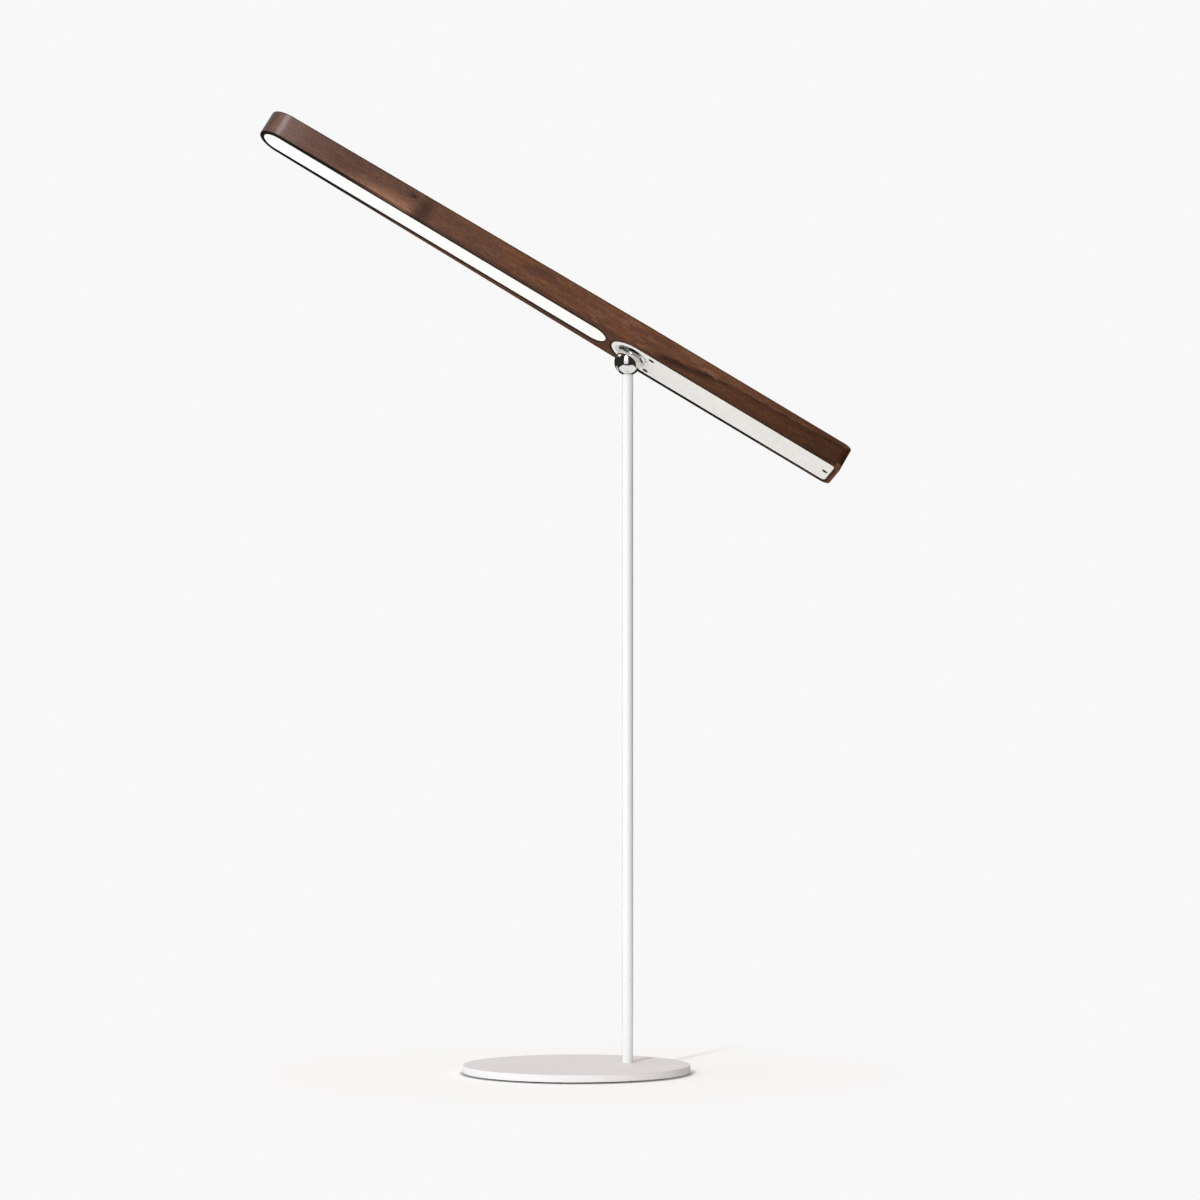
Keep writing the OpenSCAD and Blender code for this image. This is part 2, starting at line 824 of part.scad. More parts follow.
module led_lead() {
    lead_high = lead_low + lead_height;
    color("firebrick") in_bar() {
        lead_piece(lead_led_end, lead_led_end + lead_height, tunnel_side, lead_low, led_board_face);
        lead_piece(lead_led_end, tunnel_mouth, tunnel_side, lead_low, lead_high);
        translate([tunnel_mouth, tunnel_side, lead_low])
            cylinder(d = lead_thickness + bead, h = lead_height);
        translate([0, 0, lead_low]) groove_sector()
            translate([groove_radius - lead_thickness / 2, 0])
                square([lead_thickness, lead_height]);
        lead_piece(0, lead_board_end, groove_radius, lead_low, lead_high);
        lead_piece(lead_board_end - lead_height, lead_board_end, groove_radius, lead_low, board_bottom);
    }
}

module battery_wire_plus() {
    color("firebrick") battery_wire(1);
}

module battery_wire_minus() {
    color("black") battery_wire(-1);
}

base_plate();
base_pad();
stem();
stem_screw();
ball_stud();
joint_ball();
joint_cup();
cup_magnet();
magnet_pot();
wooden_bar();
diffuser();
heat_spreader();
led_board();
led_chips();
cover_plate();
cover_screws();
screw_inserts();
battery_cell();
safety_board();
battery_foam();
control_board();
board_screws();
driver_chip();
charge_chip();
choke_coil();
capacitors();
usb_socket();
usb_tongue();
touch_foil();
touch_pin();
led_lead();
battery_wire_plus();
battery_wire_minus();
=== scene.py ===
"""Looks of a cordless wooden table lamp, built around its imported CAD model."""

import json
import math

import bmesh
import bpy
from bpy.props import FloatProperty, FloatVectorProperty, PointerProperty
from mathutils import Matrix, Vector

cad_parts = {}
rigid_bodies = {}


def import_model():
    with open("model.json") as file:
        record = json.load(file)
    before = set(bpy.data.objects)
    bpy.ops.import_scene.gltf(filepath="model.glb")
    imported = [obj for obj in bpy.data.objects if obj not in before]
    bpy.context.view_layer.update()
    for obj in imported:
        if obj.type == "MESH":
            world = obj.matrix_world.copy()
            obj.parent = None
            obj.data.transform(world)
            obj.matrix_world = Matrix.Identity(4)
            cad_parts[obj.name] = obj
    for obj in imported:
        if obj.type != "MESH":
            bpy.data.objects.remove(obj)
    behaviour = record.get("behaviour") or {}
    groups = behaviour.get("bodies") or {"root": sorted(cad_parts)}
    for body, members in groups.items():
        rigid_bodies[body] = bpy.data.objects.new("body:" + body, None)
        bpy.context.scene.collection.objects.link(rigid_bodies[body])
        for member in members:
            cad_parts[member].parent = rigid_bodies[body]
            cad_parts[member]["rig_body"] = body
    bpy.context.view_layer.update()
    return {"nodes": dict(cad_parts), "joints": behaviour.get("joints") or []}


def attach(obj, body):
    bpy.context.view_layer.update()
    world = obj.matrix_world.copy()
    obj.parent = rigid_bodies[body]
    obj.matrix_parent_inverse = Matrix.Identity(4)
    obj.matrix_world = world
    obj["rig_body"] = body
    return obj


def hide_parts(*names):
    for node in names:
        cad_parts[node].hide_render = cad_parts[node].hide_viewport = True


for leftover in list(bpy.data.objects):
    bpy.data.objects.remove(leftover)
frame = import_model()
ball_centre = Vector(frame["joints"][0]["pos_m"])

bl_info = {
    "name": "Wooden table lamp",
    "version": (1, 0, 0),
    "blender": (4, 5, 0),
    "location": "3D View > Sidebar > Lamp",
    "description": "Builds the visible pieces, finishes and studio of a wooden table lamp",
    "category": "Object",
}

FULL_TURN = 2 * math.pi
HALF_TURN = math.pi
QUARTER_TURN = math.pi / 2
SMOOTH_ANGLE = math.radians(38)
SAME_PLACE = 1e-7
CAD_SAME_PLACE = 1e-6
UP = (0, 0, 1)
WHITE = (1, 1, 1)

# Fineness of the round shapes
BAR_STEPS = 40
COVER_STEPS = 32
BALL_RINGS = (96, 64)
DISH_RINGS = (128, 160)
DISH_STEPS = 32
CUP_STEPS = 96


def length(name, description, default):
    return FloatProperty(name=name, description=description, default=default, unit="LENGTH", precision=5)


def angle(name, description, degrees):
    return FloatProperty(name=name, description=description, default=math.radians(degrees), unit="ROTATION")


def colour(name, description, default):
    return FloatVectorProperty(
        name=name, description=description, default=default, subtype="COLOR", min=0.0, max=1.0
    )


def strength(name, description, default):
    return FloatProperty(name=name, description=description, default=default, min=0.0)


class LampSizes(bpy.types.PropertyGroup):
    """Sizes of the pieces that are modelled here and of the marks on them"""

    lean_heading: angle("Lean heading", "Direction that the top of the bar leans to", 32.3)
    lean_angle: angle("Lean", "Lean of the bar away from level", 34.6)
    bar_turn: angle("Turn", "Turn of the bar about the axis of the cup", -25.6)
    seat_drop: length("Seat drop", "Centre of the ball to the underside of the bar", 0.0043)
    long_reach: length("Lit end", "Ball axis to the round tip", 0.240)
    short_reach: length("Battery end", "Ball axis to the heel", 0.1316)
    bar_width: length("Bar width", "Width of the battery end", 0.0336)
    bar_height: length("Bar thickness", "Thickness of the bar", 0.0142)
    tip_diameter: length("Tip diameter", "Diameter of the round tip", 0.0238)
    heel_corner: length("Heel corner", "Corner radius of the heel", 0.005)
    wood_round: length("Wood round-over", "Radius of the sanded upper edges of the wood", 0.0004)
    wood_lip: length("Wood lip", "Radius of the lower edges of the wood", 0.00035)
    # Painted shade on the underside round the light: its depth and where it ends on each side.
    shade_inner: length("Seal, inside", "Full depth of the dark seal, from the middle of the light", 0.0100)
    shade_near: length("Seal, near side", "Where the seal ends on the near side", 0.0118)
    shade_far: length("Seal, far side", "Where the seal ends on the far side", 0.0109)
    diffuser_width: length("Diffuser width", "Width of the diffuser strip", 0.0164)
    diffuser_thickness: length("Diffuser thickness", "Thickness of the diffuser strip", 0.002)
    diffuser_setback: length("Diffuser setback", "Ball axis to the near end of the diffuser", 0.0171)
    tip_rim: length("Tip rim", "Wood between the diffuser and the tip", 0.0027)
    diffuser_round: length("Diffuser round-over", "Radius of the diffuser's edge", 0.0003)
    cover_width: length("Cover width", "Width of the cover plate", 0.0272)
    cover_lead: length("Cover lead", "Ball axis to the round end of the cover plate", 0.013)
    cover_thickness: length("Cover thickness", "Thickness of the cover plate", 0.002)
    cover_corner: length("Cover corner", "Corner radius of the cover plate", 0.0026)
    heel_rim: length("Heel rim", "Wood between the cover plate and the heel", 0.003)
    cover_round: length("Cover round-over", "Radius of the cover plate's edge", 0.001)
    pair_setback: length("Screw pair", "Ball axis to the pair of screws, along the bar", 0.0109)
    pair_reach: length("Screw pair reach", "Ball axis to each screw of the pair, across the bar", 0.009)
    heel_screw: length("Heel screw", "Heel end of the cover plate to its single screw", 0.0033)
    slot_turn: angle("Slot turn", "Turn of the screws' slots", 25)
    ball_diameter: length("Ball", "Diameter of the ball", 0.015)
    stem_diameter: length("Stem", "Diameter of the stem", 0.006)
    stud_diameter: length("Stud", "Diameter of the stud in the ball", 0.003)
    ball_bore: length("Ball bore", "Depth of the bore in the ball", 0.006)
    seat_blend: length("Seat blend", "Height of the shade where the ball meets the stem", 0.0007)
    cup_diameter: length("Cup", "Diameter of the cup where it shows", 0.017)
    dish_mouth: length("Dish mouth", "Ball axis to the edge of the shallow dish round the ball", 0.0105)
    cup_height: length("Cup height", "Height of the cup", 0.0044)
    cup_flange: length("Cup flange", "Width of the flange that the cover plate keeps in", 0.0011)
    cup_gap: length("Cup gap", "Clearance between the cup and its neighbours", 0.0001)
    run_gap: length("Running gap", "Clearance between ball, stud and cup", 0.00005)
    hair: length("Hair", "How far a carved piece stays inside its solid", 0.00001)


class LampColours(bpy.types.PropertyGroup):
    """Colours of the finishes that show, and the brightness of the light"""

    # Also used for the painted highlight on the heel's lower corner.
    wood_pale: colour("Pale wood", "Pale patches and streaks of the walnut", (0.30, 0.145, 0.084))
    wood_lit: colour("Lit wood", "Walnut of the lit end", (0.092, 0.0425, 0.0290))
    # Painted sheen: walnut of the round tip, lightened towards grey as a sheen would show it.
    wood_tip_sheen: colour("Tip wood", "Walnut of the round tip", (0.20, 0.112, 0.090))
    wood_mid: colour("Middle wood", "Walnut around the ball", (0.106, 0.0430, 0.0240))
    wood_warm: colour("Warm wood", "Walnut below the band, near the ball", (0.086, 0.0330, 0.0155))
    wood_deep: colour("Deep wood", "Walnut of the battery end", (0.058, 0.0205, 0.0098))
    # Also used for the painted light on the heel's lower rim and for the warmer far margin.
    wood_orange: colour("Warm streaks", "Orange streaks and upper edge of the wood", (0.150, 0.0560, 0.0170))
    # Also used for darker edges, and for painted shade on the underside and at the end of the tip.
    wood_band: colour("Dark band", "Dark late wood and the knot", (0.020, 0.0085, 0.0048))
    # Painted shade on the underside: round the light, towards the tip, and beside and round the cover plate.
    underside_shade: colour("Sealed wood", "Dark sealed wood beside the light", (0.004, 0.003, 0.0025))
    base_white: colour("Base paint", "Paint of the base plate", (0.752, 0.740, 0.752))
    stem_white: colour("Stem paint", "Paint of the stem", (0.77, 0.80, 0.805))
    cover_white: colour("Cover", "Cover plate", (0.89, 0.888, 0.855))
    opal_body: colour("Diffuser", "Body of the diffuser", (0.36, 0.36, 0.35))
    opal_shade: colour("Diffuser, shaded", "Darker haze in the diffuser", (0.32, 0.32, 0.31))
    opal_glow: colour("Glow", "Light of the diffuser", (1.0, 0.985, 0.955))
    opal_strength: strength("Glow strength", "Brightness of the diffuser", 0.68)
    steel: colour("Polished steel", "Ball and cup", (0.80, 0.795, 0.785))
    seat_shade: colour("Seat shade", "Shade of the ball where it meets the stem", (0.30, 0.19, 0.15))
    screw_grey: colour("Screw heads", "Heads of the cover plate's screws", (0.60, 0.60, 0.58))
    # Painted shade that stands for the drive slots of the cover plate's screws.
    slot_shade: colour("Screw slots", "Drive slots of those screws", (0.006, 0.006, 0.006))
    pad_grey: colour("Grip pad", "Rubber pad under the base", (0.045, 0.044, 0.043))


class StudioSettings(bpy.types.PropertyGroup):
    """Camera and light"""

    camera_place: FloatVectorProperty(
        name="Camera", description="Place of the camera", default=(0.01302, -2.766, 0.25906),
        subtype="TRANSLATION", unit="LENGTH", precision=5,
    )
    camera_pitch: angle("Camera pitch", "How far the camera looks up", 0.056)
    lens: FloatProperty(name="Lens", description="Focal length in millimetres", default=150.0)
    backdrop: colour("Backdrop", "Colour of the background", (0.939, 0.939, 0.939))
    floor_white: colour("Floor", "Colour of the floor", (0.958, 0.972, 0.99))
    floor_brown: colour("Floor, right", "Floor that shades the right side", (0.20, 0.14, 0.10))
    floor_contact: colour("Floor, contact", "Shade under the rim of the base", (0.10, 0.09, 0.09))
    fill_left: strength("Fill, left", "Soft light from the left", 0.95)
    fill_right: strength("Fill, right", "Soft light from the right", 0.25)
    fill_top: strength("Fill, top", "Share of soft light from above", 1.48)
    fill_side: strength("Fill, side", "Share of soft light from the sides", 0.9)
    fill_warmth: colour("Fill warmth", "Tint of the soft light from the right", (1.0, 0.76, 0.56))
    key: strength("Key", "Strength of the key light", 1.56)
    key_side: angle("Key side", "How far left of the camera the key light stands", 22)
    key_rise: angle("Key height", "Height of the key light above the horizon", 25)
    key_spread: angle("Key spread", "Softness of the key light", 2.5)
    strip_glow: strength("Strip", "High strip light that gloss shows", 15.0)
    strip_foot: strength("Strip foot", "Low end of that strip light", 0.95)
    reflector: strength("Reflector", "Light from the floor on the left", 1.3)
    panel_black: colour("Dark panels", "Dark panels that gloss shows", (0.030, 0.029, 0.025))
    panel_brown: colour("Brown panels", "Brown panels that gloss shows", (0.10, 0.062, 0.040))


# Shapes


def bar_place(sizes):
    """Matrix from the bar's own axes to the lamp: x runs to the heel, z from the underside to the top."""
    return (
        Matrix.Translation(ball_centre)
        @ Matrix.Rotation(sizes.lean_heading, 4, "Z")
        @ Matrix.Rotation(sizes.lean_angle, 4, "Y")
        @ Matrix.Rotation(sizes.bar_turn, 4, "Z")
        @ Matrix.Translation((0, 0, sizes.seat_drop))
    )


def only_verts(made):
    """The vertices among what a bmesh operator made."""
    return [v for v in made if isinstance(v, bmesh.types.BMVert)]


def arc(bm, centre, radius, start, sweep, steps, axis=UP):
    """Spins one vertex round a centre and returns the first and the last vertex of the arc."""
    centre, axis = Vector(centre), Vector(axis)
    first = bm.verts.new(centre + Vector(start) * radius)
    if sweep == 0:
        return first, first
    made = bmesh.ops.spin(
        bm, geom=[first], cent=centre, axis=axis, dvec=(0, 0, 0), angle=sweep, steps=steps, use_merge=False
    )
    return first, only_verts(made["geom_last"])[0]


def plate(arcs, steps, low, high):
    """A plate between two heights. Its outline joins arcs (centre, radius, start, sweep) to one loop."""
    bm = bmesh.new()
    ends = [arc(bm, *each, steps) for each in arcs]
    for i, (first, _) in enumerate(ends):
        bm.edges.new((ends[i - 1][1], first))
    bmesh.ops.contextual_create(bm, geom=bm.edges[:])
    made = bmesh.ops.extrude_face_region(bm, geom=bm.faces[:], use_keep_orig=True)
    top = only_verts(made["geom"])
    bottom = [v for v in bm.verts if v not in set(top)]
    bmesh.ops.translate(bm, vec=(0, 0, high), verts=top)
    bmesh.ops.translate(bm, vec=(0, 0, low), verts=bottom)
    bmesh.ops.recalc_face_normals(bm, faces=bm.faces[:])
    return bm


def round_rim(bm, height, radius, segments):
    """Rounds the edges that lie flat at a height."""
    rim = [e for e in bm.edges if all(abs(v.co.z - height) < SAME_PLACE for v in e.verts)]
    bmesh.ops.bevel(
        bm, geom=rim, offset=radius, offset_type="OFFSET", segments=segments, profile=0.5,
        affect="EDGES", material=-1, clamp_overlap=True,
    )


def mesh_object(name, bm, place=None):
    """Turns a bmesh into an object at the origin, with its place in its mesh."""
    mesh = bpy.data.meshes.new(name)
    bm.to_mesh(mesh)
    bm.free()
    if place is not None:
        mesh.transform(place)
    piece = bpy.data.objects.new(name, mesh)
    bpy.context.scene.collection.objects.link(piece)
    return piece


def cut(piece, tool, operation):
    """Applies a Boolean with a tool to a piece and removes the tool."""
    cutter = piece.modifiers.new("cut", "BOOLEAN")
    cutter.operation, cutter.solver, cutter.object = operation, "EXACT", tool
    view = bpy.context.evaluated_depsgraph_get()
    carved = bpy.data.meshes.new_from_object(piece.evaluated_get(view))
    piece.modifiers.clear()
    plain, piece.data = piece.data, carved
    bpy.data.meshes.remove(plain)
    bpy.data.objects.remove(tool)


def carve(piece, node):
    """Keeps of a piece only what lies inside a CAD node, so that it gets the node's pockets and holes."""
    bm = bmesh.new()
    bm.from_mesh(frame["nodes"][node].data)
    bmesh.ops.remove_doubles(bm, verts=bm.verts[:], dist=CAD_SAME_PLACE)
    cut(piece, mesh_object(node + "_solid", bm), "INTERSECT")


def strip_ends(sizes):
    """Radius of the diffuser's round ends, and where their centres lie along the bar: far and near."""
    radius = sizes.diffuser_width / 2
    return radius, sizes.tip_rim - sizes.long_reach + radius, -sizes.diffuser_setback - radius


def dish_sphere(sizes):
    """Radius of the shallow dish round the ball and the height of its centre above the underside."""
    depth = sizes.ball_diameter / 2 + sizes.run_gap - sizes.seat_drop
    radius = (sizes.dish_mouth ** 2 + depth ** 2) / (2 * depth)
    return radius, depth - radius


def ball_shape(sizes, flat):
    """The ball with a flat seat below its centre and a bore for the stud."""
    bore = sizes.stud_diameter / 2 + sizes.run_gap
    bm = bmesh.new()
    around, along = BALL_RINGS
    bmesh.ops.create_uvsphere(bm, u_segments=around, v_segments=along, radius=sizes.ball_diameter / 2)
    halved = bmesh.ops.bisect_plane(
        bm, geom=bm.verts[:] + bm.edges[:] + bm.faces[:], dist=SAME_PLACE,
        plane_co=(0, 0, -flat), plane_no=(0, 0, -1), clear_outer=True,
    )
    rim = [e for e in halved["geom_cut"] if isinstance(e, bmesh.types.BMEdge)]
    seat = bmesh.ops.contextual_create(bm, geom=rim)["faces"]
    bmesh.ops.inset_region(bm, faces=seat, thickness=sizes.stem_diameter / 2 - bore, use_even_offset=True)
    hole = bmesh.ops.extrude_face_region(bm, geom=seat)
    bmesh.ops.delete(bm, geom=[f for f in seat if f.is_valid], context="FACES_ONLY")
    bmesh.ops.translate(bm, vec=(0, 0, sizes.ball_bore), verts=only_verts(hole["geom"]))
    bmesh.ops.recalc_face_normals(bm, faces=bm.faces[:])
    return bm


def cup_shape(sizes):
    """The cup: a profile of dish, step and flange, spun once round the z axis."""
    dish, middle = dish_sphere(sizes)
    outer, flange = sizes.cup_diameter / 2, sizes.cup_diameter / 2 + sizes.cup_flange
    step = sizes.cover_thickness + sizes.cup_gap
    opening = math.asin(outer / dish)
    rim = (math.sin(opening), 0, math.cos(opening))
    bm = bmesh.new()
    last, _ = arc(bm, (0, 0, middle), dish, rim, -opening, DISH_STEPS, (0, 1, 0))
    corners = [(outer, step), (flange, step), (flange, sizes.cup_height), (0, sizes.cup_height)]
    for across, height in corners:
        following = bm.verts.new((across, 0, height))
        bm.edges.new((last, following))
        last = following
    bmesh.ops.spin(
        bm, geom=bm.verts[:] + bm.edges[:], cent=(0, 0, 0), axis=UP, dvec=(0, 0, 0),
        angle=FULL_TURN, steps=CUP_STEPS, use_merge=True,
    )
    bmesh.ops.remove_doubles(bm, verts=bm.verts[:], dist=SAME_PLACE)
    bmesh.ops.recalc_face_normals(bm, faces=bm.faces[:])
    return bm


def dress(piece, node, material):
    """Finishes a piece that stands for a CAD node: smooth faces, material and body."""
    piece.data.shade_smooth()
    piece.data.set_sharp_from_angle(angle=SMOOTH_ANGLE)
    even = piece.modifiers.new("even_normals", "WEIGHTED_NORMAL")
    even.keep_sharp = True
    piece.data.materials.clear()
    piece.data.materials.append(material)
    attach(piece, frame["nodes"][node]["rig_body"])
    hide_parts(node)


def paint(material, *nodes):
    """Gives CAD nodes a material."""
    for node in nodes:
        for slot in frame["nodes"][node].material_slots:
            slot.material = material


# Finishes


class Finish:
    """A node tree under construction, with short ways to add and join nodes."""

    def __init__(self, tree):
        self.tree = tree

    def node(self, kind, settings=None, **inputs):
        made = self.tree.nodes.new("ShaderNode" + kind)
        for name, value in (settings or {}).items():
            setattr(made, name, value)
        return self.give(made, **inputs)

    def give(self, made, **inputs):
        for name, value in inputs.items():
            self.put(made.inputs[name.replace("_", " ")], value)
        return made

    def put(self, socket, value):
        if isinstance(value, bpy.types.NodeSocket):
            self.tree.links.new(value, socket)
        else:
            socket.default_value = value

    def fill(self, made, *values):
        for socket, value in zip(made.inputs, values):
            self.put(socket, value)
        return made.outputs[0]

    def math(self, operation, *values):
        return self.fill(self.node("Math", {"operation": operation}), *values)

    def chain(self, operation, values):
        result, *others = values
        for value in others:
            result = self.math(operation, result, value)
        return result

    def plus(self, *values):
        return self.chain("ADD", values)

    def minus(self, *values):
        return self.chain("SUBTRACT", values)

    def times(self, *values):
        return self.chain("MULTIPLY", values)

    def most(self, *values):
        return self.chain("MAXIMUM", values)

    def size(self, vector):
        return self.node("VectorMath", {"operation": "LENGTH"}, Vector=vector).outputs["Value"]

    def span(self, x, y):
        return self.size(self.node("CombineXYZ", X=x, Y=y).outputs[0])

    def moved(self, vector, place, turn):
        made = self.node("Mapping", {"vector_type": "TEXTURE"}, Vector=vector, Location=place, Rotation=turn)
        return made.outputs[0]

    def stretch(self, vector, scale):
        return self.fill(self.node("VectorMath", {"operation": "MULTIPLY"}), vector, scale)

    def noise(self, vector, detail=4.0, roughness=0.55, distortion=0.0):
        made = self.node(
            "TexNoise", Vector=vector, Scale=1.0, Detail=detail, Roughness=roughness, Distortion=distortion
        )
        return made.outputs["Fac"]

    def range(self, value, stretch, shares=(0.0, 1.0), kind="LINEAR"):
        made = self.node("MapRange", {"interpolation_type": kind})
        return self.fill(made, value, *stretch, *shares)

    def fade(self, value, stretch, shares=(0.0, 1.0)):
        return self.range(value, stretch, shares, "SMOOTHSTEP")

    def mix(self, factor, first, second, blend="MIX"):
        made = self.node("Mix", {"data_type": "RGBA", "blend_type": blend})
        self.put(made.inputs[0], factor)
        for socket, value in ((made.inputs[6], first), (made.inputs[7], second)):
            self.put(socket, value if isinstance(value, bpy.types.NodeSocket) else (*value[:3], 1.0))
        return made.outputs[2]

    def between(self, factor, first, second):
        return self.fill(self.node("MixShader"), factor, first, second)

    def one_sided(self, front):
        back = self.node("NewGeometry").outputs["Backfacing"]
        return self.between(back, front, self.node("BsdfTransparent").outputs[0])

    def show(self, shader, kind="Material"):
        self.node("Output" + kind, Surface=shader)


def emptied(owner):
    """The Finish of a material or a world whose nodes have been cleared."""
    owner.use_nodes = True
    owner.node_tree.nodes.clear()
    return Finish(owner.node_tree)


def new_finish(name):
    """An empty material with a Principled shader. Returns the material, its Finish and the shader."""
    material = bpy.data.materials.new(name)
    finish = emptied(material)
    shader = finish.node("BsdfPrincipled")
    finish.show(shader.outputs[0])
    return material, finish, shader


def new_group(name, own_inputs):
    """A group with the sockets of every effect and its own. Returns it, its Finish, input and output."""
    group = bpy.data.node_groups.new(name, "ShaderNodeTree")
    shared_inputs = [
        ("Vector", "Vector", None), ("Light", "Color", (1, 1, 1, 1)), ("Dark", "Color", (0, 0, 0, 1)),
        ("Gloss low", "Float", 0.4), ("Gloss high", "Float", 0.6),
    ]
    for label, kind, value in shared_inputs + own_inputs:
        socket = group.interface.new_socket(label, in_out="INPUT", socket_type="NodeSocket" + kind)
        if value is not None:
            socket.default_value = value
    for label, kind in (("Colour", "Color"), ("Roughness", "Float"), ("Height", "Float")):
        group.interface.new_socket(label, in_out="OUTPUT", socket_type="NodeSocket" + kind)
    return group, Finish(group), group.nodes.new("NodeGroupInput"), group.nodes.new("NodeGroupOutput")


def join_effect(finish, source, sink, fine, coarse, fine_share, contrast, gloss):
    """Joins a fine and a coarse pattern to the colour, the roughness and the height of a group."""
    blend = finish.plus(finish.times(fine, fine_share), finish.times(coarse, 1.0 - fine_share))
    spread = finish.range(blend, contrast)
    tone = finish.mix(spread, source.outputs["Dark"], source.outputs["Light"])
    shares = [source.outputs[label] for label in gloss]
    finish.give(sink, Colour=tone, Roughness=finish.range(spread, (0.0, 1.0), shares), Height=fine)


def fine_coat_group():
    """Uneven tone, gloss and a fine skin, as paint, moulded plastic, rubber and boards have."""
    if "fine_coat" in bpy.data.node_groups:
        return bpy.data.node_groups["fine_coat"]
    group, finish, source, sink = new_group(
        "fine_coat", [("Grain", "Float", 1500.0), ("Clouds", "Float", 30.0)]
    )
    place, grain_scale, cloud_scale = (source.outputs[label] for label in ("Vector", "Grain", "Clouds"))
    grain = finish.node("TexNoise", Vector=place, Scale=grain_scale, Detail=3.0).outputs[0]
    clouds = finish.node("TexNoise", Vector=place, Scale=cloud_scale, Detail=4.0).outputs[0]
    join_effect(finish, source, sink, grain, clouds, 0.35, (0.36, 0.64), ("Gloss high", "Gloss low"))
    return group


def tool_marks_group():
    """Faint parallel lines and smears of worked metal."""
    if "tool_marks" in bpy.data.node_groups:
        return bpy.data.node_groups["tool_marks"]
    group, finish, source, sink = new_group(
        "tool_marks", [("Lines", "Vector", (200.0, 200.0, 6000.0)), ("Smears", "Float", 90.0)]
    )
    place, line_scale, smear_scale = (source.outputs[label] for label in ("Vector", "Lines", "Smears"))
    lines = finish.noise(finish.stretch(place, line_scale), detail=2.0)
    smears = finish.node("TexNoise", Vector=place, Scale=smear_scale, Detail=3.0).outputs[0]
    join_effect(finish, source, sink, lines, smears, 0.45, (0.35, 0.65), ("Gloss low", "Gloss high"))
    return group


def shade(colour_value, factor):
    return tuple(c * factor for c in colour_value[:3])


def surface(name, group, light, dark, gloss, bump, metallic=0.0, specular=0.5, **values):
    """A material whose colour, gloss and skin come from one of the shared groups."""
    material, finish, shader = new_finish(name)
    place = finish.node("TexCoord").outputs["Object"]
    effect = finish.node("Group", {"node_tree": group})
    settings = {
        "Vector": place, "Light": (*light[:3], 1), "Dark": (*dark[:3], 1),
        "Gloss low": gloss[0], "Gloss high": gloss[1], **values,
    }
    for label, value in settings.items():
        finish.put(effect.inputs[label], value)
    finish.give(
        shader, Base_Color=effect.outputs["Colour"], Roughness=effect.outputs["Roughness"],
        Metallic=metallic, Specular_IOR_Level=specular,
    )
    if bump:
        depth, distance = bump
        skin = finish.node("Bump", Strength=depth, Distance=distance, Height=effect.outputs["Height"])
        finish.give(shader, Normal=skin.outputs[0])
    return material


def coated(name, light, dark_share, gloss, bump=(0.06, 0.0001), specular=0.5, **values):
    dark = shade(light, dark_share)
    return surface(name, fine_coat_group(), light, dark, gloss, bump, specular=specular, **values)


def metal(name, light, dark_share, gloss, **values):
    dark = shade(light, dark_share)
    return surface(name, tool_marks_group(), light, dark, gloss, None, metallic=1.0, **values)


def overlay(finish, share, tint):
    """Mixes a tint into the colour of a material that is otherwise finished."""
    shader = next(n for n in finish.tree.nodes if n.type == "BSDF_PRINCIPLED")
    socket = shader.inputs["Base Color"]
    finish.put(socket, finish.mix(share, socket.links[0].from_socket, tint))


def paint_seat_shade(material, height, blend, tint):
    """Paints shade into a material just above a height, where the ball sits on the stem."""
    finish = Finish(material.node_tree)
    level = finish.node("SeparateXYZ", Vector=finish.node("TexCoord").outputs["Object"]).outputs[2]
    overlay(finish, finish.fade(level, (height, height + blend), (0.9, 0.0)), tint)


def bar_spot(finish, sizes):
    """Place of a point in the bar's own axes."""
    place = bar_place(sizes)
    spot = finish.node("TexCoord").outputs["Object"]
    return finish.moved(spot, place.to_translation(), place.to_euler("XYZ"))


def painted_slot_shade(material, sizes, colours):
    """Paints an oval drive slot as dark shade in each screw head of the cover plate."""
    finish = Finish(material.node_tree)
    local = bar_spot(finish, sizes)
    slot_edge, slot_squeeze = (0.0016, 0.0019), (1.0, 1.3, 0.0)
    heel = sizes.short_reach - sizes.heel_rim - sizes.heel_screw
    marks = []
    for x, y in ((sizes.pair_setback, -sizes.pair_reach), (sizes.pair_setback, sizes.pair_reach), (heel, 0)):
        turned = finish.moved(local, (x, y, 0), (0, 0, sizes.slot_turn))
        away = finish.size(finish.stretch(turned, slot_squeeze))
        marks.append(finish.fade(away, slot_edge, (1.0, 0.0)))
    overlay(finish, finish.most(*marks), colours.slot_shade)


# Walnut. Places are in metres: along the bar from the ball axis, across it and up from its underside.
# A mask fades between two places, from its first share to its second.


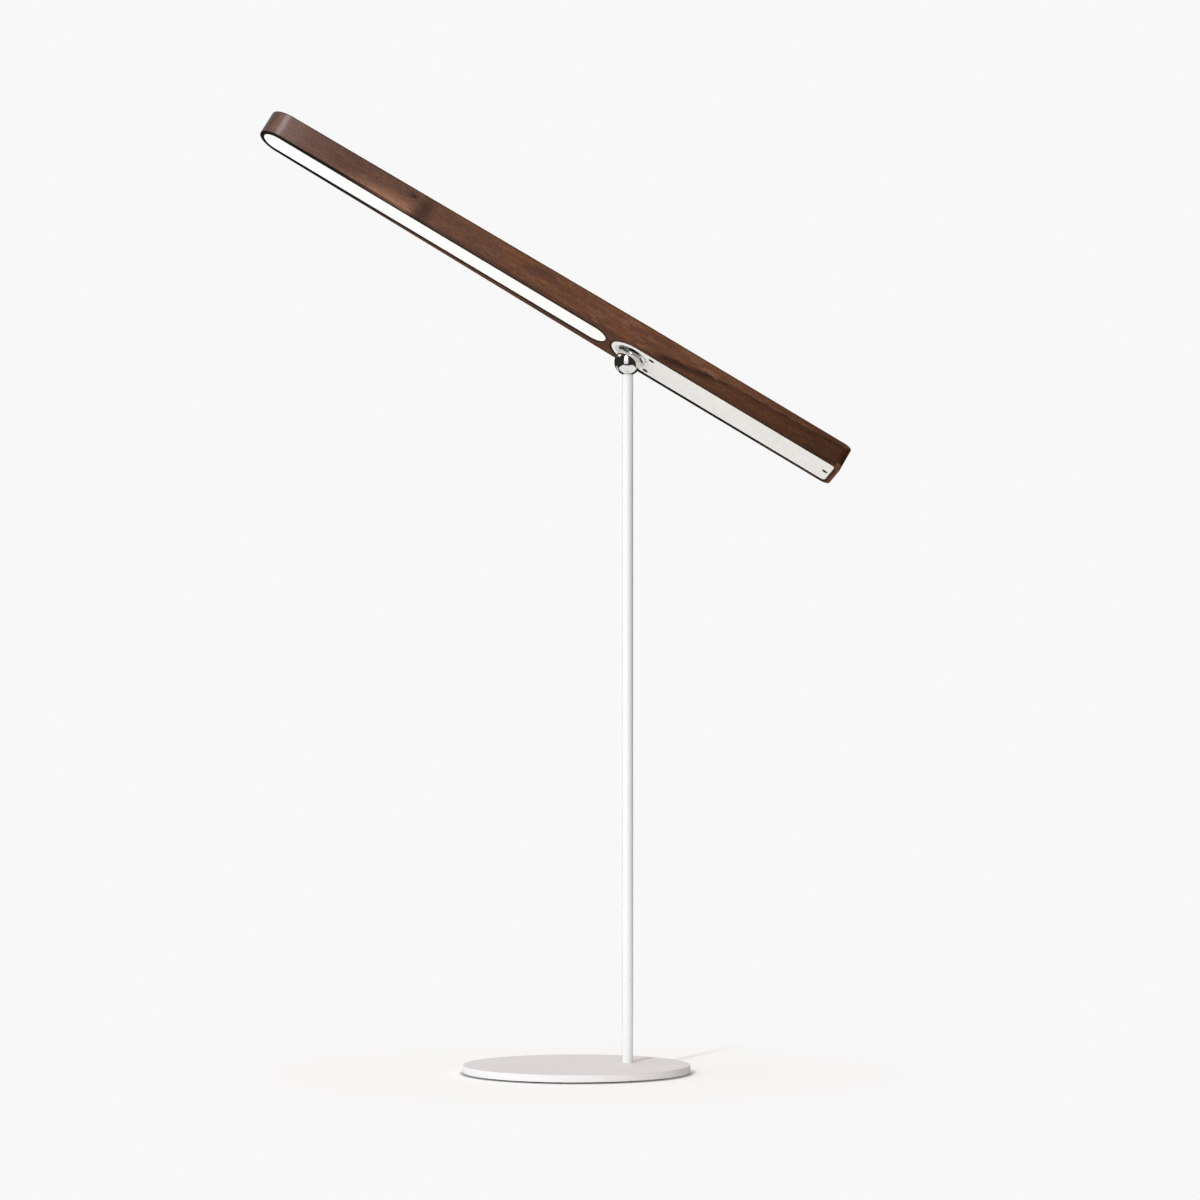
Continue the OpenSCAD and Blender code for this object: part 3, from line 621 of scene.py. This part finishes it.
class Wood(Finish):
    """The walnut under construction: a point's place in the bar's own axes, masks and the tone so far."""

    def __init__(self, tree, sizes):
        super().__init__(tree)
        self.local = bar_spot(self, sizes)
        self.along, self.across, self.height = self.node("SeparateXYZ", Vector=self.local).outputs
        self.tone = None
        self.top_face = self.range(self.height, (0.01395, 0.0141))
        self.side_face = self.minus(1.0, self.top_face)
        self.underside = self.rise(0.0003, 0.0006, 1.0, 0.0)
        self.lit_end = self.run(-0.05, -0.17)

    def run(self, start, end, *shares):
        """A mask along the bar."""
        return self.fade(self.along, (start, end), shares or (0.0, 1.0))

    def rise(self, start, end, *shares):
        """A mask from the underside up."""
        return self.fade(self.height, (start, end), shares or (0.0, 1.0))

    def grain(self, run, cross, up=None, **settings):
        """Noise with so many cells per metre along, across and up the bar."""
        scale = (run, cross, cross if up is None else up)
        return self.noise(self.stretch(self.local, scale), **settings)

    def spot(self, centre, squeeze, radius):
        """1 in the middle of a soft oval spot and 0 outside it."""
        gap = self.node("VectorMath", {"operation": "DISTANCE"})
        self.fill(gap, self.stretch(self.local, squeeze), [c * s for c, s in zip(centre, squeeze)])
        return self.fade(gap.outputs["Value"], (0.0, radius), (1.0, 0.0))

    def stain(self, colour_value, *masks):
        """Mixes a colour into the tone, by the product of its masks."""
        self.tone = self.mix(self.times(*masks), self.tone, colour_value)


def wood_layers(wood, colours):
    """Layers that arch along the battery end and bend round the knot of the lit end."""
    arch_fall, arch_top, arch_drop = -27.8, 0.0116, 0.0130
    near_side, layer_lean, knot_bend = 0.0161, 0.22, 0.003
    wander = wood.range(wood.grain(16.0, 70.0, detail=3.0), (0.0, 1.0), (-0.0018, 0.0018))
    ripple = wood.grain(75.0, 420.0, detail=5.0, roughness=0.62)
    ripple = wood.range(ripple, (0.0, 1.0), (-0.0016, 0.0016))
    fall = wood.math("EXPONENT", wood.times(wood.most(wood.along, 0.0), arch_fall))
    arch = wood.minus(arch_top, wood.times(fall, arch_drop))
    lean = wood.times(wood.plus(wood.across, near_side), layer_lean)
    layer = wood.plus(wood.minus(wood.height, arch), lean, wood.plus(wander, ripple))
    wood.knot = wood.spot((-0.1492, -0.0133, 0.0102), (0.55, 0.3, 1.0), 0.0030)
    wood.eye = wood.spot((-0.1480, -0.0133, 0.0098), (0.42, 0.3, 1.2), 0.0012)
    wood.cloud = wood.spot((-0.1393, -0.0133, 0.0060), (0.9, 0.3, 0.5), 0.0064)
    wood.bent = wood.plus(layer, wood.times(wood.plus(wood.knot, wood.cloud), knot_bend))

    # Colours below, in and above the dark layer
    upper = wood.mix(wood.lit_end, colours.wood_mid, colours.wood_lit)
    # Painted sheen: towards the round tip the walnut is lightened towards grey.
    upper = wood.mix(wood.run(-0.185, -0.235, 0.0, 0.4), upper, colours.wood_tip_sheen)
    lower = wood.mix(wood.run(0.045, 0.085), colours.wood_warm, colours.wood_deep)
    feather = wood.run(0.02, 0.075, 0.0018, 0.0005)
    wood.above = wood.fade(wood.bent, (wood.times(feather, -1.0), wood.times(feather, 0.6)))
    wood.tone = wood.mix(wood.above, lower, upper)
    band_foot = wood.fade(wood.bent, (wood.times(feather, -3.0), wood.times(feather, -0.3)))
    band_head = wood.fade(wood.bent, (0.0, feather), (1.0, 0.0))
    wood.stain(colours.wood_band, band_foot, band_head, wood.run(0.0, 0.022, 0.0, 0.9))


def wood_figure(wood, colours):
    """Thin wavy growth lines in patches, pale bloom, warm and dark clouds, and streaks of the top face."""
    lines_per_metre, line_sharpness = 3600.0, 4.0
    lines = wood.math("SINE", wood.times(wood.bent, lines_per_metre))
    lines = wood.math("POWER", wood.range(lines, (-1.0, 1.0)), line_sharpness)
    patches = wood.fade(wood.grain(26.0, 120.0, detail=2.0), (0.46, 0.66), (0.0, 0.42))
    wood.stain(colours.wood_band, lines, patches, wood.range(wood.lit_end, (0.0, 1.0), (1.0, 0.25)))

    bloom = wood.grain(70.0, 380.0, detail=5.0, roughness=0.7, distortion=0.8)
    bloom = wood.fade(bloom, (0.48, 0.72), (0.0, 0.5))
    wood.stain(colours.wood_pale, bloom, wood.range(wood.lit_end, (0.0, 1.0), (1.0, 0.35)), wood.above)

    warmth = wood.grain(55.0, 260.0, detail=4.0, roughness=0.6, distortion=0.7)
    warmth = wood.fade(warmth, (0.44, 0.64), (0.0, 0.6))
    warmth = wood.most(warmth, wood.times(wood.rise(0.0098, 0.0135, 0.0, 0.6), wood.side_face))
    off_band = wood.range(wood.above, (0.0, 1.0), (0.45, 1.0))
    wood.stain(colours.wood_orange, warmth, wood.run(-0.17, -0.10, 0.12, 1.0), off_band)
    murk = wood.grain(22.0, 90.0, detail=3.0, distortion=0.4)
    wood.stain(colours.wood_band, wood.fade(murk, (0.52, 0.78), (0.0, 0.3)))

    streaks = wood.grain(7.0, 230.0, 0.0, detail=5.0, roughness=0.6, distortion=0.5)
    wood.stain(colours.wood_band, wood.fade(streaks, (0.50, 0.66), (0.0, 0.6)), wood.top_face)
    wood.stain(colours.wood_pale, wood.fade(streaks, (0.48, 0.34), (0.0, 0.4)), wood.top_face)


def wood_marks(wood, colours):
    """Pale wood along the lower edge up to the knot, the knot itself and a painted highlight on the lower
    corner of the heel.
    """
    pale = wood.spot((-0.1575, -0.0133, -0.0015), (0.17, 0.3, 0.85), 0.0086)
    wood.stain(colours.wood_pale, pale, wood.run(-0.149, -0.1425, 1.0, 0.0))
    wood.stain(shade(colours.wood_band, 1.35), wood.cloud, 0.8)
    wood.stain(colours.wood_band, wood.knot, 0.55)
    wood.stain(shade(colours.wood_band, 0.3), wood.eye, 0.95)
    # Painted highlight where the heel's lower corner catches the light.
    wood.stain(colours.wood_pale, wood.run(0.1275, 0.1292, 0.0, 0.75), wood.rise(0.0015, 0.003, 1.0, 0.0))


def wood_fibres(wood, colours):
    """Fibres, flecks and open pores."""
    wood.fibre = wood.grain(45.0, 1300.0, detail=5.0, roughness=0.62)
    flecks = wood.grain(420.0, 900.0, detail=4.0, roughness=0.65)
    weave = wood.times(
        wood.range(wood.fibre, (0.3, 0.7), (0.84, 1.16)), wood.range(flecks, (0.3, 0.7), (0.74, 1.26))
    )
    tint = wood.node("CombineColor", Red=weave, Green=weave, Blue=weave)
    wood.tone = wood.mix(1.0, wood.tone, tint.outputs[0], "MULTIPLY")
    wood.pores = wood.fade(wood.grain(130.0, 3800.0, detail=2.0), (0.60, 0.72))
    wood.stain(colours.wood_band, wood.pores, 0.45)


def wood_edges(wood, colours):
    """Darker upper edges, darker wood above and below towards the heel, and painted shade at the end of the
    tip, where it turns from the light.
    """
    upper_edge_dark = wood.rise(0.0130, 0.0139, 0.0, 0.65)
    heel_low = wood.times(wood.rise(0.0035, 0.0005, 0.0, 0.5), wood.run(0.085, 0.112))
    heel_high = wood.times(wood.rise(0.0100, 0.0120, 0.0, 0.5), wood.run(0.05, 0.105))
    # Painted shade: the end of the round tip darkens where it turns from the light.
    edges = wood.most(upper_edge_dark, heel_low, heel_high, wood.run(-0.2347, -0.2388, 0.0, 0.62))
    wood.stain(colours.wood_band, edges, wood.side_face, wood.run(0.1262, 0.1285, 1.0, 0.0))


def cover_distance(wood, sizes):
    """Distance from the outline of the cover plate, with its round nose and rounded heel corners."""
    half, corner = sizes.cover_width / 2, sizes.cover_corner
    nose, end = half - sizes.cover_lead, sizes.short_reach - sizes.heel_rim - corner
    before = wood.math("MINIMUM", wood.minus(wood.along, nose), 0.0)
    behind = wood.most(wood.minus(wood.along, end), 0.0)
    aside = wood.most(wood.minus(wood.math("ABSOLUTE", wood.across), half - corner), 0.0)
    return wood.most(
        wood.minus(wood.span(before, wood.across), half), wood.minus(wood.span(behind, aside), corner)
    )


def wood_underside(wood, sizes, colours):
    """Painted light on the heel rim, a warmer far margin, and painted shade over the underside: round the
    light, towards the tip and round the cover plate.
    """
    # Painted shade: the whole underside is darkened, as it gets less light from below.
    wood.stain(colours.wood_band, wood.underside, 0.3)
    far_margin = wood.fade(wood.across, (0.0095, 0.0110), (0.0, 0.8))
    far_margin = wood.times(far_margin, wood.most(wood.run(-0.05, -0.08), wood.run(0.07, 0.11)))
    # Painted light on the heel's rounded lower rim, and a warmer far margin.
    warm = wood.most(wood.run(0.124, 0.128, 0.0, 0.8), far_margin)
    wood.stain(shade(colours.wood_orange, 0.75), warm, wood.underside)

    # Painted shade: a shadow gap round the light, the underside towards the tip, and shadow beside and round
    # the cover plate.
    _, far, near = strip_ends(sizes)
    end_squeeze = 1.2
    beyond = wood.math("ABSOLUTE", wood.minus(wood.along, (far + near) / 2))
    beyond = wood.most(wood.minus(beyond, (near - far) / 2), 0.0)
    outline = wood.span(wood.times(beyond, end_squeeze), wood.across)
    shade_outer = wood.range(wood.across, (0.0, 0.004), (sizes.shade_near, sizes.shade_far))
    light_gap_shade = wood.fade(outline, (sizes.shade_inner, shade_outer), (0.96, 0.0))
    tip_underside_shade = wood.run(-0.20, -0.13, 0.97, 0.0)
    cover_side_shadow = wood.times(
        wood.fade(wood.across, (0.008, 0.012)), wood.run(0.07, 0.11, 0.95, 0.2),
        wood.range(wood.along, (-0.004, 0.002)),
    )
    cover_gap_shadow = wood.fade(cover_distance(wood, sizes), (0.0002, 0.0018), (0.9, 0.0))
    painted_shade = wood.most(light_gap_shade, tip_underside_shade, cover_side_shadow, cover_gap_shadow)
    wood.stain(colours.underside_shade, painted_shade, wood.underside)


def walnut(sizes, colours):
    """Oiled walnut, polished at the tip."""
    material, finish, shader = new_finish("walnut")
    wood = Wood(finish.tree, sizes)
    for step in (wood_layers, wood_figure, wood_marks, wood_fibres, wood_edges):
        step(wood, colours)
    wood_underside(wood, sizes, colours)
    gloss = wood.range(wood.fibre, (0.3, 0.7), (0.40, 0.50))
    gloss = wood.most(gloss, wood.range(wood.height, (0.0001, 0.0003), (0.85, 0.0)))
    polish = wood.times(wood.run(-0.212, -0.226, 0.0, 0.42), wood.side_face)
    relief = wood.minus(wood.times(wood.fibre, 0.5), wood.pores)
    skin = wood.node("Bump", Strength=0.03, Distance=0.00006, Height=relief)
    wood.give(
        shader, Base_Color=wood.tone, Roughness=wood.plus(gloss, wood.times(wood.pores, 0.18)),
        Specular_IOR_Level=0.11, Coat_Weight=wood.times(polish, wood.range(wood.height, (0.0003, 0.001))),
        Coat_Roughness=0.34, Normal=skin.outputs[0],
    )
    return material


def opal(colours):
    """Lit opal acrylic with a faint haze."""
    material, finish, shader = new_finish("opal_acrylic")
    haze_scale = (420.0, 420.0, 420.0)
    haze = finish.noise(finish.stretch(finish.node("TexCoord").outputs["Object"], haze_scale), detail=3.0)
    light = finish.mix(finish.range(haze, (0.35, 0.65)), shade(colours.opal_glow, 0.97), colours.opal_glow)
    finish.give(
        shader, Base_Color=finish.mix(haze, colours.opal_shade, colours.opal_body), Emission_Color=light,
        Emission_Strength=colours.opal_strength, Roughness=finish.range(haze, (0.3, 0.7), (0.34, 0.46)),
        Specular_IOR_Level=0.4,
    )
    return material


# Finishes inside the bar and under the base: name, colour, share of the darker tone, gloss, nodes, options
INNER_METALS = (
    ("screw_steel", (0.55, 0.55, 0.56), 0.7, (0.25, 0.4), ("stem_screw", "ball_stud", "board_screws"), {}),
    ("magnet_nickel", (0.6, 0.58, 0.55), 0.8, (0.18, 0.3), ("cup_magnet", "magnet_pot"), {}),
    (
        "bare_aluminium", (0.8, 0.8, 0.81), 0.85, (0.3, 0.45), ("heat_spreader",),
        {"Lines": (60.0, 3000.0, 3000.0)},
    ),
    ("insert_brass", (0.78, 0.57, 0.28), 0.75, (0.22, 0.35), ("screw_inserts", "touch_pin"), {}),
    ("socket_steel", (0.7, 0.7, 0.71), 0.8, (0.2, 0.32), ("usb_socket",), {"Smears": 400.0}),
    ("copper_foil", (0.85, 0.45, 0.3), 0.75, (0.25, 0.4), ("touch_foil",), {"Smears": 300.0}),
    ("cell_foil", (0.72, 0.74, 0.77), 0.85, (0.35, 0.5), ("battery_cell",), {"Smears": 120.0}),
)
INNER_COATS = (
    ("white_board", (0.78, 0.79, 0.77), 0.93, (0.35, 0.5), ("led_board",), {}),
    ("led_phosphor", (0.83, 0.66, 0.14), 0.85, (0.4, 0.55), ("led_chips",), {}),
    ("green_board", (0.02, 0.11, 0.045), 0.6, (0.3, 0.45), ("control_board",), {}),
    ("chip_black", (0.02, 0.02, 0.021), 0.6, (0.45, 0.6), ("driver_chip", "charge_chip", "usb_tongue"), {}),
    ("ferrite_grey", (0.06, 0.06, 0.06), 0.6, (0.6, 0.75), ("choke_coil",), {}),
    ("capacitor_tan", (0.42, 0.29, 0.17), 0.8, (0.35, 0.5), ("capacitors",), {}),
    ("amber_tape", (0.52, 0.27, 0.04), 0.8, (0.25, 0.4), ("safety_board",), {}),
    (
        "grey_foam", (0.16, 0.165, 0.17), 0.6, (0.85, 0.95), ("battery_foam",),
        {"bump": (0.5, 0.0004), "Grain": 1100.0},
    ),
    ("red_wire", (0.42, 0.03, 0.025), 0.8, (0.4, 0.55), ("led_lead", "battery_wire_plus"), {}),
    ("black_wire", (0.02, 0.02, 0.02), 0.7, (0.4, 0.55), ("battery_wire_minus",), {}),
)


# Operators


class LAMP_OT_wooden_bar(bpy.types.Operator):
    """Make the walnut bar with sanded edges and the pockets of its solid"""

    bl_idname = "lamp.wooden_bar"
    bl_label = "Wooden bar"

    def execute(self, context):
        sizes, colours = context.scene.lamp_sizes, context.scene.lamp_colours
        half, tip = sizes.bar_width / 2 - sizes.hair, sizes.tip_diameter / 2 - sizes.hair
        corner, tip_centre = sizes.heel_corner, sizes.tip_diameter / 2 - sizes.long_reach
        heel = sizes.short_reach - sizes.hair - corner
        outline = [
            ((tip_centre, 0, 0), tip, (0, 1, 0), HALF_TURN),
            ((0, 0, 0), half, (0, -1, 0), 0),
            ((heel, corner - half, 0), corner, (0, -1, 0), QUARTER_TURN),
            ((heel, half - corner, 0), corner, (1, 0, 0), QUARTER_TURN),
            ((0, 0, 0), half, (0, 1, 0), 0),
        ]
        low, high = sizes.hair, sizes.bar_height - sizes.hair
        bm = plate(outline, BAR_STEPS, low, high)
        round_rim(bm, low, sizes.wood_lip, segments=3)
        round_rim(bm, high, sizes.wood_round, segments=5)
        piece = mesh_object("walnut_bar", bm, bar_place(sizes))
        carve(piece, "wooden_bar")
        dress(piece, "wooden_bar", walnut(sizes, colours))
        return {"FINISHED"}


class LAMP_OT_diffuser(bpy.types.Operator):
    """Make the lit diffuser strip"""

    bl_idname = "lamp.diffuser"
    bl_label = "Diffuser"

    def execute(self, context):
        sizes, colours = context.scene.lamp_sizes, context.scene.lamp_colours
        radius, far, near = strip_ends(sizes)
        outline = [
            ((far, 0, 0), radius, (0, 1, 0), HALF_TURN),
            ((near, 0, 0), radius, (0, -1, 0), HALF_TURN),
        ]
        bm = plate(outline, BAR_STEPS, 0, sizes.diffuser_thickness)
        round_rim(bm, 0, sizes.diffuser_round, segments=3)
        piece = mesh_object("opal_strip", bm, bar_place(sizes))
        dress(piece, "diffuser", opal(colours))
        return {"FINISHED"}


class LAMP_OT_cover_plate(bpy.types.Operator):
    """Make the cover plate with soft edges, the holes of its solid and the dish, and finish its screws"""

    bl_idname = "lamp.cover_plate"
    bl_label = "Cover plate"

    def execute(self, context):
        sizes, colours = context.scene.lamp_sizes, context.scene.lamp_colours
        half, corner = sizes.cover_width / 2 - sizes.hair, sizes.cover_corner
        end = sizes.short_reach - sizes.heel_rim - sizes.hair - corner
        nose = sizes.cover_width / 2 - sizes.cover_lead
        outline = [
            ((nose, 0, 0), half, (0, 1, 0), HALF_TURN),
            ((end, corner - half, 0), corner, (0, -1, 0), QUARTER_TURN),
            ((end, half - corner, 0), corner, (1, 0, 0), QUARTER_TURN),
        ]
        bm = plate(outline, COVER_STEPS, sizes.hair, sizes.cover_thickness - sizes.hair)
        round_rim(bm, sizes.hair, sizes.cover_round, segments=4)
        piece = mesh_object("soft_edged_cover", bm, bar_place(sizes))
        carve(piece, "cover_plate")
        dish, middle = dish_sphere(sizes)
        bm = bmesh.new()
        around, along = DISH_RINGS
        bmesh.ops.create_uvsphere(bm, u_segments=around, v_segments=along, radius=dish)
        ball_seat = mesh_object("ball_seat", bm, bar_place(sizes) @ Matrix.Translation((0, 0, middle)))
        cut(piece, ball_seat, "DIFFERENCE")
        plastic = coated(
            "cover_plastic", colours.cover_white, 0.95, (0.5, 0.62), specular=0.15, Grain=2600.0, Clouds=45.0
        )
        dress(piece, "cover_plate", plastic)
        heads = coated(
            "black_screw", colours.screw_grey, 0.8, (0.5, 0.65), specular=0.12, Grain=5000.0, Clouds=600.0
        )
        painted_slot_shade(heads, sizes, colours)
        paint(heads, "cover_screws")
        return {"FINISHED"}


class LAMP_OT_ball_joint(bpy.types.Operator):
    """Make the polished ball and its cup"""

    bl_idname = "lamp.ball_joint"
    bl_label = "Ball joint"

    def execute(self, context):
        sizes, colours = context.scene.lamp_sizes, context.scene.lamp_colours
        flat = math.sqrt((sizes.ball_diameter / 2) ** 2 - (sizes.stem_diameter / 2) ** 2)
        ball = mesh_object("polished_ball", ball_shape(sizes, flat), Matrix.Translation(ball_centre))
        chrome = metal("ball_chrome", colours.steel, 0.96, (0.05, 0.08))
        # Painted shade where the ball meets the stem.
        paint_seat_shade(chrome, ball_centre.z - flat, sizes.seat_blend, colours.seat_shade)
        dress(ball, "joint_ball", chrome)
        cup = mesh_object("polished_cup", cup_shape(sizes), bar_place(sizes))
        dress(cup, "joint_cup", metal("cup_chrome", colours.steel, 0.95, (0.17, 0.22)))
        return {"FINISHED"}


class LAMP_OT_stand(bpy.types.Operator):
    """Finish the base, its pad and the stem"""

    bl_idname = "lamp.stand"
    bl_label = "Stand"

    def execute(self, context):
        colours = context.scene.lamp_colours
        base = coated("white_paint", colours.base_white, 0.965, (0.68, 0.8), specular=0.04, Grain=1900.0)
        stem = coated(
            "stem_paint", colours.stem_white, 0.97, (0.16, 0.24), (0.02, 0.0001), specular=0.45, Grain=2200.0
        )
        pad = coated("grip_rubber", colours.pad_grey, 0.7, (0.75, 0.9), (0.4, 0.0003), Grain=700.0)
        paint(base, "base_plate")
        paint(stem, "stem")
        paint(pad, "base_pad")
        return {"FINISHED"}


class LAMP_OT_inner_parts(bpy.types.Operator):
    """Finish the parts inside the bar, the ball and the base, and the charging inlet"""

    bl_idname = "lamp.inner_parts"
    bl_label = "Inner parts"

    def execute(self, context):
        for maker, finishes in ((metal, INNER_METALS), (coated, INNER_COATS)):
            for name, light, dark_share, gloss, nodes, options in finishes:
                paint(maker(name, light, dark_share, gloss, **options), *nodes)
        return {"FINISHED"}


# Studio

SENSOR_WIDTH = 36.0
CLIP_START, CLIP_END = 0.05, 60.0
FLOOR_HALF = 12.0
FLOOR_DROP = 0.00005

# Where the floor changes: distance from the middle of the base, and distance to the right of it
CONTACT_EDGE, CONTACT_SHARE = (0.0615, 0.0665), 0.92
MELT_EDGE, MELT_SHARE = (0.075, 0.24), 0.2
BROWN_EDGE = (0.2, 0.42)

# Standing panels: name, degrees right of the camera, distance, width, low and high edge, finish
WALLS = (
    ("strip_high", -17, 1.5, 0.55, 0.8, 2.9, "strip_glow"),
    ("strip_low", -15, 1.2, 0.7, 0.0, 0.8, "strip_foot"),
    ("dark_left", -52, 1.3, 0.9, 0.0, 2.2, "dark_panel"),
    ("dark_far_left", -95, 1.3, 1.2, 0.0, 2.2, "dark_panel"),
    ("dark_back_left", -145, 1.3, 1.4, 0.0, 1.0, "dark_panel"),
    ("dark_right", 37, 1.0, 1.3, 0.0, 1.5, "dark_panel"),
    ("brown_right", 95, 1.3, 1.5, 0.0, 1.5, "brown_panel"),
    ("brown_back_right", 150, 1.3, 1.3, 0.0, 1.2, "brown_panel"),
)

# Lying panels: name, centre, width, depth, finish
FLOOR_PANELS = (
    ("dark_behind", (-0.3, 3.25, 0.004), 4.0, 6.0, "dark_panel"),
    ("pale_behind", (-0.78, 1.0, 0.006), 0.8, 0.9, "strip_foot"),
    ("dark_before", (0.0, -1.6, 0.003), 5.0, 2.0, "dark_panel"),
    ("dark_beside_left", (-1.5, 0.3, 0.003), 1.8, 1.8, "dark_panel"),
    ("dark_beside_right", (1.5, 0.3, 0.003), 1.8, 1.8, "brown_panel"),
    ("reflector", (-0.55, -0.35, 0.002), 0.9, 0.9, "reflector"),
)


def panel(name, centre, facing, width, height, material):
    """A flat studio panel that only gloss shows."""
    bm = bmesh.new()
    bmesh.ops.create_grid(bm, x_segments=1, y_segments=1, size=0.5)
    bmesh.ops.scale(bm, vec=(width, height, 1), verts=bm.verts[:])
    turn = Vector(facing).to_track_quat("Z", "Y").to_matrix().to_4x4()
    made = mesh_object(name, bm, Matrix.Translation(centre) @ turn)
    made.data.materials.append(material)
    made.visible_camera = made.visible_diffuse = made.visible_shadow = made.visible_transmission = False
    return made


def wall(name, side, distance, width, low, high, material):
    """A standing panel that faces the ball."""
    side = math.radians(side)
    towards = Vector((math.sin(side), -math.cos(side), 0))
    foot = Vector((ball_centre.x, ball_centre.y, 0)) + towards * distance
    panel(name, foot + Vector((0, 0, (low + high) / 2)), -towards, width, high - low, material)


def glow(name, value, brightness):
    """A studio light that only shines from its front."""
    material = bpy.data.materials.new(name)
    finish = emptied(material)
    light = finish.node("Emission", Color=(*value[:3], 1), Strength=brightness)
    finish.show(finish.one_sided(light.outputs[0]))
    return material


def seen_directly(finish):
    """1 for rays of the camera, of gloss and of glass, and 0 for the rest."""
    path = finish.node("LightPath")
    return finish.most(*(path.outputs[f"Is {kind} Ray"] for kind in ("Camera", "Glossy", "Transmission")))


def set_camera(scene, studio):
    """The camera of the photograph."""
    camera = bpy.data.cameras.new("photo_camera")
    camera.lens, camera.sensor_width = studio.lens, SENSOR_WIDTH
    camera.clip_start, camera.clip_end = CLIP_START, CLIP_END
    viewer = bpy.data.objects.new("photo_camera", camera)
    viewer.location = studio.camera_place
    viewer.rotation_euler = (QUARTER_TURN + studio.camera_pitch, 0, 0)
    scene.collection.objects.link(viewer)
    scene.camera = viewer


def set_world(scene, studio):
    """A plain background where it is seen directly, and soft fill from the left elsewhere."""
    scene.world = bpy.data.worlds.new("studio_world")
    finish = emptied(scene.world)
    sight = finish.node("SeparateXYZ", Vector=finish.node("TexCoord").outputs["Generated"])
    rightwards, _, upwards = sight.outputs
    warm = shade(studio.fill_warmth, studio.fill_right)
    fill = finish.mix(finish.range(rightwards, (-1.0, 1.0)), (studio.fill_left,) * 3, warm)
    fill = finish.stretch(fill, finish.range(upwards, (0.0, 1.0), (studio.fill_side, studio.fill_top)))
    sky = finish.node("Background", Color=finish.mix(seen_directly(finish), fill, studio.backdrop))
    finish.show(sky.outputs[0], "World")


def set_floor(studio):
    """A floor that keeps the shadow near the lamp and melts into the background further out."""
    material = bpy.data.materials.new("studio_floor")
    finish = emptied(material)
    spot = finish.node("TexCoord").outputs["Object"]
    away = finish.size(spot)
    seen = seen_directly(finish)
    right = finish.fade(finish.node("SeparateXYZ", Vector=spot).outputs[0], BROWN_EDGE)
    ground = finish.mix(
        finish.times(right, finish.minus(1.0, seen)), studio.floor_white, studio.floor_brown
    )
    # Painted shade on the floor under the rim of the base, where the floor is seen directly.
    contact = finish.fade(away, CONTACT_EDGE, (CONTACT_SHARE, 0.0))
    ground = finish.mix(finish.times(contact, seen), ground, studio.floor_contact)
    matt = finish.node("BsdfDiffuse", Color=ground).outputs[0]
    plain = finish.node("Emission", Color=(*studio.backdrop, 1), Strength=1.0).outputs[0]
    melt = finish.times(finish.fade(away, MELT_EDGE, (MELT_SHARE, 1.0)), seen)
    finish.show(finish.one_sided(finish.between(melt, matt, plain)))
    bm = bmesh.new()
    bmesh.ops.create_grid(bm, x_segments=1, y_segments=1, size=FLOOR_HALF)
    floor = mesh_object("studio_floor", bm, Matrix.Translation((0, 0, -FLOOR_DROP)))
    floor.data.materials.append(material)


def set_lights(scene, studio):
    """A key light from the left of the camera, strips and dark panels that gloss shows, and a reflector."""
    rise, turn = studio.key_rise, studio.key_side
    towards = Vector((-math.sin(turn), -math.cos(turn), 0)) * math.cos(rise)
    towards.z = math.sin(rise)
    sun = bpy.data.lights.new("key", "SUN")
    sun.energy, sun.angle = studio.key, studio.key_spread
    key = bpy.data.objects.new("key", sun)
    key.rotation_euler = towards.to_track_quat("Z", "Y").to_euler()
    key.visible_glossy = False
    scene.collection.objects.link(key)
    lights = {
        "strip_glow": (WHITE, studio.strip_glow),
        "strip_foot": (WHITE, studio.strip_foot),
        "dark_panel": (studio.panel_black, 1.0),
        "brown_panel": (studio.panel_brown, 1.0),
        "reflector": (WHITE, studio.reflector),
    }
    glows = {name: glow(name, *settings) for name, settings in lights.items()}
    for *place, finish in WALLS:
        wall(*place, glows[finish])
    for name, centre, width, depth, finish in FLOOR_PANELS:
        made = panel(name, centre, UP, width, depth, glows[finish])
        if name == "reflector":
            made.visible_diffuse, made.visible_glossy = True, False


class LAMP_OT_stage(bpy.types.Operator):
    """Set up the camera, the floor and the light"""

    bl_idname = "lamp.stage"
    bl_label = "Studio"

    def execute(self, context):
        scene, studio = context.scene, context.scene.lamp_studio
        scene.view_settings.view_transform = "Standard"
        set_camera(scene, studio)
        set_world(scene, studio)
        set_floor(studio)
        set_lights(scene, studio)
        return {"FINISHED"}


class LAMP_PT_panel(bpy.types.Panel):
    """Lists the steps of the lamp, its sizes, colours and studio"""

    bl_idname = "LAMP_PT_panel"
    bl_label = "Wooden table lamp"
    bl_space_type = "VIEW_3D"
    bl_region_type = "UI"
    bl_category = "Lamp"

    def draw(self, context):
        for step in STEPS:
            self.layout.operator(step.bl_idname)
        for group in (context.scene.lamp_sizes, context.scene.lamp_colours, context.scene.lamp_studio):
            box = self.layout.box()
            for name in group.__annotations__:
                box.prop(group, name)


GROUPS = {"lamp_sizes": LampSizes, "lamp_colours": LampColours, "lamp_studio": StudioSettings}
STEPS = (
    LAMP_OT_stage, LAMP_OT_wooden_bar, LAMP_OT_diffuser, LAMP_OT_cover_plate, LAMP_OT_ball_joint,
    LAMP_OT_stand, LAMP_OT_inner_parts,
)


def register():
    for item in (*GROUPS.values(), *STEPS, LAMP_PT_panel):
        bpy.utils.register_class(item)
    for name, group in GROUPS.items():
        setattr(bpy.types.Scene, name, PointerProperty(type=group))


def unregister():
    for name in GROUPS:
        delattr(bpy.types.Scene, name)
    for item in (LAMP_PT_panel, *reversed(STEPS), *reversed(list(GROUPS.values()))):
        bpy.utils.unregister_class(item)


def main():
    register()
    for step in STEPS:
        family, name = step.bl_idname.split(".")
        getattr(getattr(bpy.ops, family), name)()


if __name__ == "__main__":
    main()
